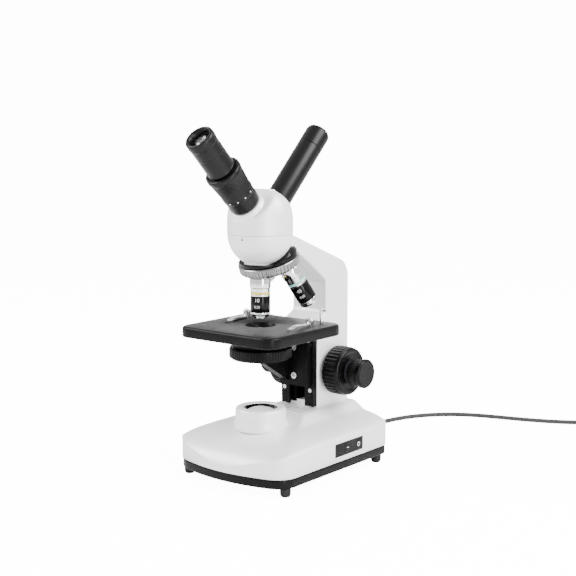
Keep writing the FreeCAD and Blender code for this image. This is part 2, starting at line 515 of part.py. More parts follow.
def make_front_tube():
    """Fixed tube with its flange, dioptre collar, draw tube and the wide eyepiece."""
    start, axis, end = FRONT_START, FRONT_AXIS, FRONT_END
    facet = (RIDGE_Z - FRONT_START.z + RIDGE_HALF) * SQ
    flange = turned([(12.5, facet + 0.05), (16.3, facet + 0.05), (16.3, facet + 3.0), (15.6, facet + 3.6),
                     (12.5, facet + 3.6)], start, axis)
    keep("front_tube", flange.fuse(tube(13.0, BORE, start, axis, 17.0, 58.5)))
    collar = [(13.05, facet + 4.0), (14.3, facet + 4.0), (14.3, facet + 6.5), (17.2, 70.0), (17.9, 74.5),
              (17.9, 76.6), (16.9, COLLAR_END), (14.6, COLLAR_END), (14.6, 62.5), (13.05, 62.5)]
    keep("dioptre_collar", turned(collar, start, axis))
    draw = [(BORE, 61.0), (12.95, 61.0), (12.95, 64.9), (14.5, 64.9), (14.5, 77.0), (BORE, 77.0)]
    keep("draw_tube", turned(draw, start, axis))
    eyepiece = [(9.5, 50.0), (SLEEVE, 50.0), (SLEEVE, 79.0), (14.3, 79.0), (14.3, 81.0), (13.9, 81.4),
                (13.9, end - 4.0), (14.3, end - 3.4), (14.3, end - 1.5), (12.8, end), (9.5, end),
                (8.6, end - 4.0), (9.5, end - 8.0)]
    keep("front_eyepiece", turned(eyepiece, start, axis))
    eye_lens = [(0, end - 5.0), (8.4, end - 5.4), (8.4, end - 4.2), (0, end - 2.6)]
    field_lens = [(0, 84.0), (9.4, 84.8), (9.4, 85.8), (0, 87.2)]
    keep("front_lenses", turned(eye_lens, start, axis), turned(field_lens, start, axis))


def make_rear_tube():
    """Plain tube with the slim eyepiece that stands in it."""
    start, axis, end = REAR_START, REAR_AXIS, REAR_END
    keep("rear_tube", tube(REAR_R, BORE, start, axis, 17.0, REAR_SEAM - 0.25))
    eyepiece = [(9.5, 84.0), (SLEEVE, 84.0), (SLEEVE, REAR_SEAM), (REAR_R, REAR_SEAM), (REAR_R, end - 1.4),
                (REAR_R - 1.4, end), (8.8, end), (8.0, end - 3.5), (8.0, end - 8), (9.5, end - 10)]
    keep("rear_eyepiece", turned(eyepiece, start, axis))
    lens = [(0, end - 5.0), (7.9, end - 5.4), (7.9, end - 4.2), (0, end - 2.8)]
    keep("rear_eye_lens", turned(lens, start, axis))


# ---- mains lead --------------------------------------------------------------------------------
ROUTE = [V(-20, 145, 30), V(-20, 168, 29), V(-20.5, 186, 19.5), V(-21.5, 204, 6.5), V(-22, 226, 2.5),
         V(-19.5, 252, 2.5), V(-12, 280, 2.5), V(3, 307, 2.5), V(27, 331, 2.5), V(60, 346, 2.5),
         V(96, 356, 2.5), V(131, 369, 2.5), V(162, 387, 2.5), V(186, 409, 2.5)]


def cord_path(points):
    """Straight runs joined by tangent arcs, each as large as its two runs allow."""
    edges, start = [], points[0]
    for before, corner, after in zip(points, points[1:], points[2:]):
        into, out = (corner - before), (after - corner)
        shorter = min(into.Length, out.Length)
        into.normalize()
        out.normalize()
        turn = into.getAngle(out)
        cut = 0.45 * shorter
        radius = cut / math.tan(turn / 2)
        first, last = corner - into * cut, corner + out * cut
        middle_dir = (out - into).normalize()
        middle = corner + middle_dir * (radius / math.cos(turn / 2) - radius)
        edges.append(Part.LineSegment(start, first).toShape())
        edges.append(Part.Arc(first, middle, last).toShape())
        print("cord arc radius %.0f mm" % radius)
        start = last
    edges.append(Part.LineSegment(start, points[-1]).toShape())
    return Part.Wire(edges)


def make_lead():
    wire = cord_path(ROUTE)
    first, along = ROUTE[0], (ROUTE[1] - ROUTE[0]).normalize()
    section = Part.Wire(Part.makeCircle(CORD_R, first, along))
    lead = wire.makePipeShell([section], True, False, 2)
    print("cord tube %.1f mm long, volume %.1f, section times length %.1f"
          % (wire.Length, lead.Volume, math.pi * CORD_R ** 2 * wire.Length))
    keep("mains_lead", lead)
    gland = [(0, -8), (5.9, -8), (5.9, 0.1), (7.4, 0.1), (7.4, 2.6), (4.4, 4.5), (3.2, 23.0), (0, 23.0)]
    keep("strain_relief", turned(gland, V(first.x, BASE_REAR, first.z), BACK))
    end, way = ROUTE[-1], (ROUTE[-1] - ROUTE[-2]).normalize()
    side = V(way.y, -way.x, 0)
    centre = V(end.x, end.y, 0) + side * COIL_R
    out, inn = COIL_R + 5.2, COIL_R - 5.2
    coil = turned([(inn, 0.05), (out, 0.05), (out, 15.2), (inn, 15.2)], centre)
    keep("lead_coil", coil.cut(lead))
    plug_at = centre + V(0, 0, 15.3 + 8.0)
    body = block(-9, 9, -12, 24, -7.9, 7.9)
    body = rounded(body, 2.5, lambda e: True)
    body.translate(plug_at)
    keep("mains_plug", body)
    pins = [block(x - 0.8, x + 0.8, 24.02, 40, -3.2, 3.2) for x in (-6.35, 6.35)]
    for pin in pins:
        pin.translate(plug_at)
    keep("plug_pins", *pins)
    print("coil centre", centre, "plug at", plug_at)


def main():
    os.makedirs("parts", exist_ok=True)
    make_base()
    make_lamp()
    make_switch()
    make_limb()
    make_guide()
    make_drive()
    make_stage()
    make_nosepiece()
    make_head()
    make_lead()
    box = FreeCAD.BoundBox()
    for name, shape in NODES.items():
        shape.translate(V(0, SHIFT_Y, 0))
        shape.exportStep("parts/" + name + ".step")
        if name not in ("mains_lead", "strain_relief", "lead_coil", "mains_plug", "plug_pins"):
            box.add(shape.BoundBox)
        print("%-26s solids %d valid %s volume %.0f"
              % (name, len(shape.Solids), shape.isValid(), shape.Volume))
    print("instrument box", box)
    print(len(NODES), "nodes")


main()
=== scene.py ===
"""Teaching microscope with a front and a rear viewing tube: the finished surface of every piece.

Shapes are worked out in millimetres about the optical axis, with the table at z = 0, +Z up, the user at -Y
and the limb at +Y.  A piece is put into the model's own frame, in metres, as its mesh is made.
"""

import logging
import math
from dataclasses import dataclass
from enum import Enum
from typing import Optional, Sequence

import bmesh
import bpy
import numpy as np
from mathutils import Matrix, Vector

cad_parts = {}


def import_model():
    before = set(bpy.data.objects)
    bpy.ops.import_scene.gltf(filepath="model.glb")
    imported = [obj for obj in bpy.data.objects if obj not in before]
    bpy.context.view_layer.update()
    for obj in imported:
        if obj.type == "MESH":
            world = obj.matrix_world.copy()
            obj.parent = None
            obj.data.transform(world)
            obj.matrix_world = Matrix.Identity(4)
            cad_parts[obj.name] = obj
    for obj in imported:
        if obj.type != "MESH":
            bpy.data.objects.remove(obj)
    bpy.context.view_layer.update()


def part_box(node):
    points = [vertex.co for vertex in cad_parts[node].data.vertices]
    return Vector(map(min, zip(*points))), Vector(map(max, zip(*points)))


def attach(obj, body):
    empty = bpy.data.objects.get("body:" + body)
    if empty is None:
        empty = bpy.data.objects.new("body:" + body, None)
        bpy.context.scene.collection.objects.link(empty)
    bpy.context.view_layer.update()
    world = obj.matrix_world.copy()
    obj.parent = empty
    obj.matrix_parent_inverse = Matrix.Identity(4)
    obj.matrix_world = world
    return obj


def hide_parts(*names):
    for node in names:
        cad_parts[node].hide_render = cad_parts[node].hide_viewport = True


LOG = logging.getLogger("microscope")
MM = 0.001
TURN = 2.0 * math.pi
UP = np.array([0.0, 0.0, 1.0])
RIGHT = np.array([1.0, 0.0, 0.0])
BACK = np.array([0.0, 1.0, 0.0])


# ---- finishes ------------------------------------------------------------------------------------
class Pattern(Enum):
    """How the fine grain of a finish runs."""

    CAST = "even grain in every direction"
    TURNED = "fine circles left by a lathe"
    DRAWN = "fine lines along the piece"


@dataclass(frozen=True)
class Finish:
    """A procedural material: colour with slow mottling, uneven roughness and a fine grain."""

    name: str
    colour: tuple[float, float, float]
    roughness: float
    metallic: float = 0.0
    mottle: float = 0.06
    mottle_scale: float = 60.0
    unevenness: float = 0.06
    grain: float = 0.05
    grain_scale: float = 900.0
    pattern: Pattern = Pattern.CAST
    coat: float = 0.0
    coat_roughness: float = 0.08
    transmission: float = 0.0
    ior: float = 1.5
    specular: float = 0.5
    glow: float = 0.0

    def material(self) -> bpy.types.Material:
        """Build the material, or give back the one that was built before.

        Returns:
            The Blender material of this finish.
        """
        made = bpy.data.materials.get(self.name)
        if made is not None:
            return made
        made = bpy.data.materials.new(self.name)
        made.use_nodes = True
        nodes, links = made.node_tree.nodes, made.node_tree.links
        shader = nodes["Principled BSDF"]
        shader.inputs["Metallic"].default_value = self.metallic
        shader.inputs["IOR"].default_value = self.ior
        shader.inputs["Specular IOR Level"].default_value = self.specular
        shader.inputs["Coat Weight"].default_value = self.coat
        shader.inputs["Coat Roughness"].default_value = self.coat_roughness
        shader.inputs["Transmission Weight"].default_value = self.transmission
        if self.glow:
            shader.inputs["Emission Color"].default_value = (*self.colour, 1.0)
            shader.inputs["Emission Strength"].default_value = self.glow
        place = nodes.new("ShaderNodeTexCoord")
        stretch = nodes.new("ShaderNodeMapping")
        stretch.inputs["Scale"].default_value = self.grain_stretch()
        links.new(place.outputs["Object"], stretch.inputs["Vector"])
        slow = self.noise(nodes, links, place.outputs["Object"], self.mottle_scale, 3.0)
        fine = self.noise(nodes, links, stretch.outputs["Vector"], self.grain_scale, 2.0)
        colour = nodes.new("ShaderNodeMix")
        colour.data_type = "RGBA"
        low = tuple(c * (1.0 - self.mottle) for c in self.colour)
        high = tuple(min(1.0, c * (1.0 + self.mottle)) for c in self.colour)
        colour.inputs["A"].default_value = (*low, 1.0)
        colour.inputs["B"].default_value = (*high, 1.0)
        links.new(slow.outputs["Fac"], colour.inputs["Factor"])
        links.new(colour.outputs["Result"], shader.inputs["Base Color"])
        rough = nodes.new("ShaderNodeMapRange")
        rough.inputs["From Min"].default_value = 0.3
        rough.inputs["From Max"].default_value = 0.7
        rough.inputs["To Min"].default_value = max(0.02, self.roughness - self.unevenness)
        rough.inputs["To Max"].default_value = self.roughness + self.unevenness
        links.new(fine.outputs["Fac"], rough.inputs["Value"])
        links.new(rough.outputs["Result"], shader.inputs["Roughness"])
        bump = nodes.new("ShaderNodeBump")
        bump.inputs["Strength"].default_value = self.grain
        bump.inputs["Distance"].default_value = 0.2 * MM
        links.new(fine.outputs["Fac"], bump.inputs["Height"])
        links.new(bump.outputs["Normal"], shader.inputs["Normal"])
        return made

    def grain_stretch(self) -> tuple[float, float, float]:
        """Scale of the grain along X, Y and Z for the pattern."""
        if self.pattern is Pattern.TURNED:
            return (0.15, 0.15, 1.6)
        if self.pattern is Pattern.DRAWN:
            return (1.4, 1.4, 0.1)
        return (1.0, 1.0, 1.0)

    @staticmethod
    def noise(nodes: bpy.types.Nodes, links: bpy.types.NodeLinks, vector: bpy.types.NodeSocket,
              scale: float, detail: float) -> bpy.types.Node:
        """Add a noise texture that reads a vector.

        Args:
            nodes: The material's nodes.
            links: The material's links.
            vector: The socket that the noise reads.
            scale: Cells of noise to a metre.
            detail: Octaves of noise.

        Returns:
            The noise node.
        """
        made = nodes.new("ShaderNodeTexNoise")
        made.inputs["Scale"].default_value = scale
        made.inputs["Detail"].default_value = detail
        links.new(vector, made.inputs["Vector"])
        return made


WHITE_ENAMEL = Finish("white_enamel", (0.90, 0.90, 0.89), 0.32, mottle=0.012, mottle_scale=25,
                      unevenness=0.03, grain=0.05, grain_scale=1400, coat=0.25, coat_roughness=0.12)
BLACK_STAGE = Finish("black_stage_enamel", (0.0025, 0.0025, 0.0025), 0.34, mottle=0.25, unevenness=0.06,
                     grain=0.12, grain_scale=1500, specular=0.10)
BLACK_SATIN = Finish("black_satin_enamel", (0.002, 0.002, 0.002), 0.42, mottle=0.3, unevenness=0.08,
                     grain=0.25, grain_scale=1300, specular=0.09)
BLACK_GLOSS = Finish("black_gloss_enamel", (0.002, 0.002, 0.002), 0.14, mottle=0.2, unevenness=0.04,
                     grain=0.03, specular=0.16)
BLACK_PLASTIC = Finish("black_knob_plastic", (0.002, 0.002, 0.002), 0.28, mottle=0.25, unevenness=0.07,
                       grain=0.12, grain_scale=1700, specular=0.12)
BASE_PLASTIC = Finish("black_base_plastic", (0.002, 0.002, 0.002), 0.24, mottle=0.25, unevenness=0.06,
                      grain=0.08, specular=0.12)
ANODISED = Finish("black_anodised", (0.002, 0.002, 0.002), 0.22, mottle=0.2, unevenness=0.05,
                  grain=0.08, grain_scale=1500, specular=0.20)
CHROME = Finish("chrome_plate", (0.62, 0.62, 0.63), 0.10, metallic=1.0, mottle=0.03, unevenness=0.03,
                grain=0.03, pattern=Pattern.TURNED)
SATIN_CHROME = Finish("satin_chrome", (0.24, 0.24, 0.24), 0.24, metallic=1.0, mottle=0.05, unevenness=0.07,
                      grain=0.12, pattern=Pattern.TURNED)
STEEL = Finish("bright_steel", (0.58, 0.58, 0.60), 0.25, metallic=1.0, mottle=0.06, unevenness=0.08,
               grain=0.12, pattern=Pattern.DRAWN)
BRASS = Finish("brass", (0.72, 0.52, 0.24), 0.26, metallic=1.0, mottle=0.08, unevenness=0.08, grain=0.1,
               pattern=Pattern.TURNED)
GLASS = Finish("coated_glass", (0.93, 0.96, 0.98), 0.02, mottle=0.01, unevenness=0.0, grain=0.0,
               transmission=1.0, ior=1.52)
FROSTED = Finish("frosted_glass", (0.80, 0.82, 0.82), 0.30, mottle=0.02, unevenness=0.08, grain=0.15,
                 grain_scale=2500, transmission=0.25, ior=1.5)
RUBBER = Finish("black_rubber", (0.008, 0.008, 0.008), 0.62, mottle=0.3, unevenness=0.1, grain=0.35,
                specular=0.25)
VINYL = Finish("cord_vinyl", (0.006, 0.006, 0.006), 0.34, mottle=0.25, unevenness=0.08, grain=0.15,
               specular=0.3)
YELLOW_BAND = Finish("yellow_paint", (0.75, 0.60, 0.05), 0.30, mottle=0.05, coat=0.3)
TEAL_BAND = Finish("teal_paint", (0.25, 0.62, 0.58), 0.30, mottle=0.05, coat=0.3)
RED_BAND = Finish("red_paint", (0.60, 0.05, 0.04), 0.30, mottle=0.05, coat=0.3)
WHITE_PRINT = Finish("white_print", (0.80, 0.80, 0.78), 0.45, mottle=0.05)
BOARD = Finish("circuit_board", (0.02, 0.16, 0.07), 0.40, mottle=0.3, mottle_scale=300)
LAMP = Finish("lamp_bulb", (0.95, 0.93, 0.85), 0.20, mottle=0.02, transmission=0.3)


# ---- shapes --------------------------------------------------------------------------------------
@dataclass
class Shell:
    """Points with four-cornered faces, and rings of points that one flat face closes."""

    points: np.ndarray
    faces: np.ndarray
    caps: list[np.ndarray]

    def moved(self, frame: np.ndarray) -> "Shell":
        """Carry the shell from local axes to others.

        Args:
            frame: A 4 x 4 matrix whose columns are the local axes and the origin.

        Returns:
            The shell in the new axes.
        """
        return Shell(self.points @ frame[:3, :3].T + frame[:3, 3], self.faces, self.caps)

    def joined(self, *others: "Shell") -> "Shell":
        """Put shells into one, side by side.

        Args:
            others: The shells to add.

        Returns:
            One shell with all points and faces.
        """
        points, faces, caps = [self.points], [self.faces], list(self.caps)
        count = len(self.points)
        for other in others:
            points.append(other.points)
            faces.append(other.faces + count)
            caps += [cap + count for cap in other.caps]
            count += len(other.points)
        return Shell(np.concatenate(points), np.concatenate(faces), caps)


def grid_shell(grid: np.ndarray, round_rows: bool = False, round_columns: bool = True,
               capped: bool = False) -> Shell:
    """Make a shell of a grid of points: each cell of the grid is a face.

    Args:
        grid: Points as rows x columns x 3.
        round_rows: Whether the last row meets the first.
        round_columns: Whether the last column meets the first.
        capped: Whether the first and the last row are closed by a flat face.

    Returns:
        The shell.
    """
    rows, columns = grid.shape[:2]
    i = np.arange(rows if round_rows else rows - 1)[:, None]
    j = np.arange(columns if round_columns else columns - 1)[None, :]
    i_next, j_next = (i + 1) % rows, (j + 1) % columns
    corners = [i * columns + j, i * columns + j_next, i_next * columns + j_next, i_next * columns + j]
    faces = np.stack([c.ravel() for c in np.broadcast_arrays(*corners)], axis=1)
    caps = []
    if capped:
        caps = [np.arange(columns)[::-1], (rows - 1) * columns + np.arange(columns)]
    return Shell(grid.reshape(-1, 3), faces, caps)


def along(start: Sequence[float], axis: Sequence[float], turn: float = 0.0) -> np.ndarray:
    """Axes with their third direction along a line.

    Args:
        start: The origin.
        axis: The direction of the third axis.
        turn: Angle by which the first axis is turned about the third.

    Returns:
        A 4 x 4 matrix.
    """
    third = np.asarray(axis, float) / np.linalg.norm(axis)
    aside = RIGHT if abs(third[0]) < 0.9 else BACK
    first = aside - third * (aside @ third)
    first /= np.linalg.norm(first)
    second = np.cross(third, first)
    frame = np.eye(4)
    frame[:3, 0] = first * math.cos(turn) + second * math.sin(turn)
    frame[:3, 1] = second * math.cos(turn) - first * math.sin(turn)
    frame[:3, 2] = third
    frame[:3, 3] = start
    return frame


def axes(first: Sequence[float], second: Sequence[float], third: Sequence[float],
         start: Sequence[float] = (0.0, 0.0, 0.0)) -> np.ndarray:
    """A 4 x 4 matrix of three given axes and an origin."""
    frame = np.eye(4)
    frame[:3, 0], frame[:3, 1], frame[:3, 2], frame[:3, 3] = first, second, third, start
    return frame


def softened(outline: Sequence[Sequence[float]], radius: float, steps: int = 4,
             closed: bool = True) -> np.ndarray:
    """Round the corners of an outline with parabolas that touch both sides of each corner.

    A corner C between the touching points A and B becomes (1-t)^2 A + 2t(1-t) C + t^2 B.

    Args:
        outline: Corner points in a plane.
        radius: How far from a corner its rounding starts, at most 0.45 of a side.
        steps: Points to a corner.
        closed: Whether the last point meets the first; otherwise both ends stay as they are.

    Returns:
        The points of the rounded outline.
    """
    corner = np.asarray(outline, float)
    before, after = np.roll(corner, 1, axis=0) - corner, np.roll(corner, -1, axis=0) - corner
    length_a = np.linalg.norm(before, axis=1, keepdims=True)
    length_b = np.linalg.norm(after, axis=1, keepdims=True)
    touch_a = corner + before * np.minimum(radius / np.maximum(length_a, 1e-9), 0.45)
    touch_b = corner + after * np.minimum(radius / np.maximum(length_b, 1e-9), 0.45)
    t = np.linspace(0.0, 1.0, steps)[None, :, None]
    arcs = (1 - t) ** 2 * touch_a[:, None] + 2 * t * (1 - t) * corner[:, None] + t ** 2 * touch_b[:, None]
    if closed:
        return arcs.reshape(-1, 2)
    return np.concatenate([corner[:1], arcs[1:-1].reshape(-1, 2), corner[-1:]])


@dataclass(frozen=True)
class Ribs:
    """Straight ribs round a turned piece: how many, how deep, and between which distances."""

    count: int
    depth: float
    low: float
    high: float
    breadth: float = 1.6

    def cut(self, angle: np.ndarray, distance: np.ndarray) -> np.ndarray:
        """Depth of the furrows: a cosine wave, steepened by the breadth and clipped flat.

        Args:
            angle: Angles round the axis.
            distance: Distances along the axis.

        Returns:
            How much the radius shrinks.
        """
        wave = np.clip(0.5 + self.breadth * np.cos(self.count * angle), 0.0, 1.0)
        inside = (distance > self.low) & (distance < self.high)
        return self.depth * wave * inside


def turned(profile: Sequence[Sequence[float]], frame: np.ndarray, radius: float = 0.4, segments: int = 72,
           ribs: Optional[Ribs] = None, steps: int = 4) -> Shell:
    """Revolve a profile of (radius, distance) pairs about the third axis of a frame.

    A profile whose ends both lie on the axis closes there; any other closes on itself.

    Args:
        profile: The corners of the profile.
        frame: Axes from along().
        radius: Rounding of the corners.
        segments: Faces round the axis.
        ribs: Ribs cut into the surface.
        steps: Points to a rounded corner.

    Returns:
        A closed shell.
    """
    on_axis = profile[0][0] == 0 and profile[-1][0] == 0
    outline = softened(profile, radius, steps, closed=not on_axis)
    angle = np.arange(segments) * TURN / segments
    r = np.broadcast_to(outline[:, :1], (len(outline), segments)).copy()
    h = np.broadcast_to(outline[:, 1:], (len(outline), segments))
    if ribs is not None:
        r -= ribs.cut(angle[None, :], h)
    grid = np.stack([r * np.cos(angle), r * np.sin(angle), h], axis=2)
    return grid_shell(grid, round_rows=not on_axis).moved(frame)


def inset(outline: np.ndarray, amount: float) -> np.ndarray:
    """Draw a closed outline inwards along the mean normals of its points.

    Args:
        outline: Points of the outline, anticlockwise.
        amount: The distance.

    Returns:
        The outline drawn in.
    """
    ahead = np.roll(outline, -1, axis=0) - np.roll(outline, 1, axis=0)
    normal = np.stack([-ahead[:, 1], ahead[:, 0]], axis=1)
    return outline + amount * normal / np.maximum(np.linalg.norm(normal, axis=1, keepdims=True), 1e-9)


def prism(outline: np.ndarray, low: float, high: float, rim: float, frame: np.ndarray, steps: int = 5,
          far_rim: Optional[float] = None) -> Shell:
    """Extrude a closed outline along the third axis of a frame, with quarter-round rims.

    Args:
        outline: Points in the first two axes, anticlockwise.
        low: Where it starts.
        high: Where it ends.
        rim: Radius of the rims, less than 0.7 of the outline's rounding.
        frame: Axes from along().
        steps: Rings to a rim.
        far_rim: Radius of the rim at the high end, when it is another one.

    Returns:
        A closed shell.
    """
    angle = np.linspace(0.0, math.pi / 2, steps)
    far = rim if far_rim is None else far_rim
    draws = np.concatenate([rim * (1 - np.sin(angle)), far * (1 - np.cos(angle))])
    heights = np.concatenate([low + rim * (1 - np.cos(angle)), high - far * (1 - np.sin(angle))])
    rings = [np.column_stack([inset(outline, d), np.full(len(outline), h)]) for d, h in zip(draws, heights)]
    return grid_shell(np.stack(rings), capped=True).moved(frame)


def box_outline(x0: float, x1: float, y0: float, y1: float, radius: float, steps: int = 7) -> np.ndarray:
    """An oblong with rounded corners.

    Args:
        x0: Left side.
        x1: Right side.
        y0: Near side.
        y1: Far side.
        radius: Rounding of the corners.
        steps: Points to a corner.

    Returns:
        Points, anticlockwise.
    """
    return softened([(x0, y0), (x1, y0), (x1, y1), (x0, y1)], radius, steps)


def polar(outline: np.ndarray, angle: np.ndarray, centre: Sequence[float]) -> np.ndarray:
    """Distance from a centre to an outline in given directions.

    A ray meets the side from a to b at the distance (a x e) / (d x e), with e = b - a and the direction d.

    Args:
        outline: Points of a star-shaped outline, anticlockwise.
        angle: Directions.
        centre: The point inside it.

    Returns:
        A radius for each direction.
    """
    spoke = outline - np.asarray(centre)
    around = np.arctan2(spoke[:, 1], spoke[:, 0])
    order = np.argsort(around)
    spoke, around = spoke[order], around[order]
    folded = (np.asarray(angle) + math.pi) % TURN - math.pi
    here = (np.searchsorted(around, folded, side="right") - 1) % len(spoke)
    start, side = spoke[here], spoke[(here + 1) % len(spoke)] - spoke[here]
    across = np.cos(folded) * side[:, 1] - np.sin(folded) * side[:, 0]
    return (start[:, 0] * side[:, 1] - start[:, 1] * side[:, 0]) / across


def soft_low(a: np.ndarray, b: np.ndarray, width: float) -> np.ndarray:
    """The lower of two heights, blended over a width: h - sqrt(d^2 + w^2) about the mean h and half gap d."""
    return (a + b) / 2 - np.sqrt(((a - b) / 2) ** 2 + width ** 2)


def soft_high(a: np.ndarray, b: np.ndarray, width: float) -> np.ndarray:
    """The higher of two heights, blended over a width."""
    return -soft_low(-a, -b, width)


# ---- the workshop: from shells to pieces ---------------------------------------------------------
class Workshop:
    """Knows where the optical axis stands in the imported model, and makes pieces there."""

    def __init__(self) -> None:
        """Find the optical axis as the middle of the lamp housing."""
        low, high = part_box("lamp_housing")
        self.origin = np.array([(low.x + high.x) / 2, (low.y + high.y) / 2, 0.0])

    def box(self, node: str) -> tuple[np.ndarray, np.ndarray]:
        """Corners of a node in millimetres about the optical axis.

        Args:
            node: Name of the node.

        Returns:
            The lowest and the highest corner.
        """
        low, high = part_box(node)
        return (np.array(low) - self.origin) / MM, (np.array(high) - self.origin) / MM

    def place(self, points: np.ndarray) -> np.ndarray:
        """Carry points from millimetres about the optical axis into the model's frame."""
        return np.asarray(points, float) * MM + self.origin

    def piece(self, name: str, shell: Shell, finish: Finish, body: str, slot: str,
              nodes: Sequence[str] = (), sharp: float = 38.0) -> bpy.types.Object:
        """Make a shell into a finished piece that rides on a body.

        Args:
            name: Name of the piece.
            shell: Its surface.
            finish: Its finish.
            body: The body it rides on.
            slot: The record's material slot it belongs to; not used.
            nodes: The nodes it stands for.
            sharp: Angle in degrees past which an edge is shown sharp.

        Returns:
            The new object.
        """
        mesh = bpy.data.meshes.new(name)
        faces = shell.faces.tolist() + [cap.tolist() for cap in shell.caps]
        mesh.from_pydata(self.place(shell.points).tolist(), [], faces)
        work = bmesh.new()
        work.from_mesh(mesh)
        bmesh.ops.remove_doubles(work, verts=work.verts, dist=2e-7)
        bmesh.ops.recalc_face_normals(work, faces=work.faces)
        work.to_mesh(mesh)
        work.free()
        mesh.shade_smooth()
        mesh.set_sharp_from_angle(angle=math.radians(sharp))
        made = bpy.data.objects.new(name, mesh)
        bpy.context.scene.collection.objects.link(made)
        mesh.materials.append(finish.material())
        return self.fitted(made, body, slot, nodes)

    def fitted(self, made: bpy.types.Object, body: str, slot: str,
               nodes: Sequence[str] = ()) -> bpy.types.Object:
        """Put a finished object on its body, hide the nodes it stands for, and report it."""
        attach(made, body)
        if nodes:
            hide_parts(*nodes)
        LOG.info("%s on %s", made.name, body)
        return made

    @staticmethod
    def dress(finish: Finish, *nodes: str) -> None:
        """Give carried-over nodes a finish."""
        for node in nodes:
            mesh = bpy.data.objects[node].data
            mesh.materials.clear()
            mesh.materials.append(finish.material())


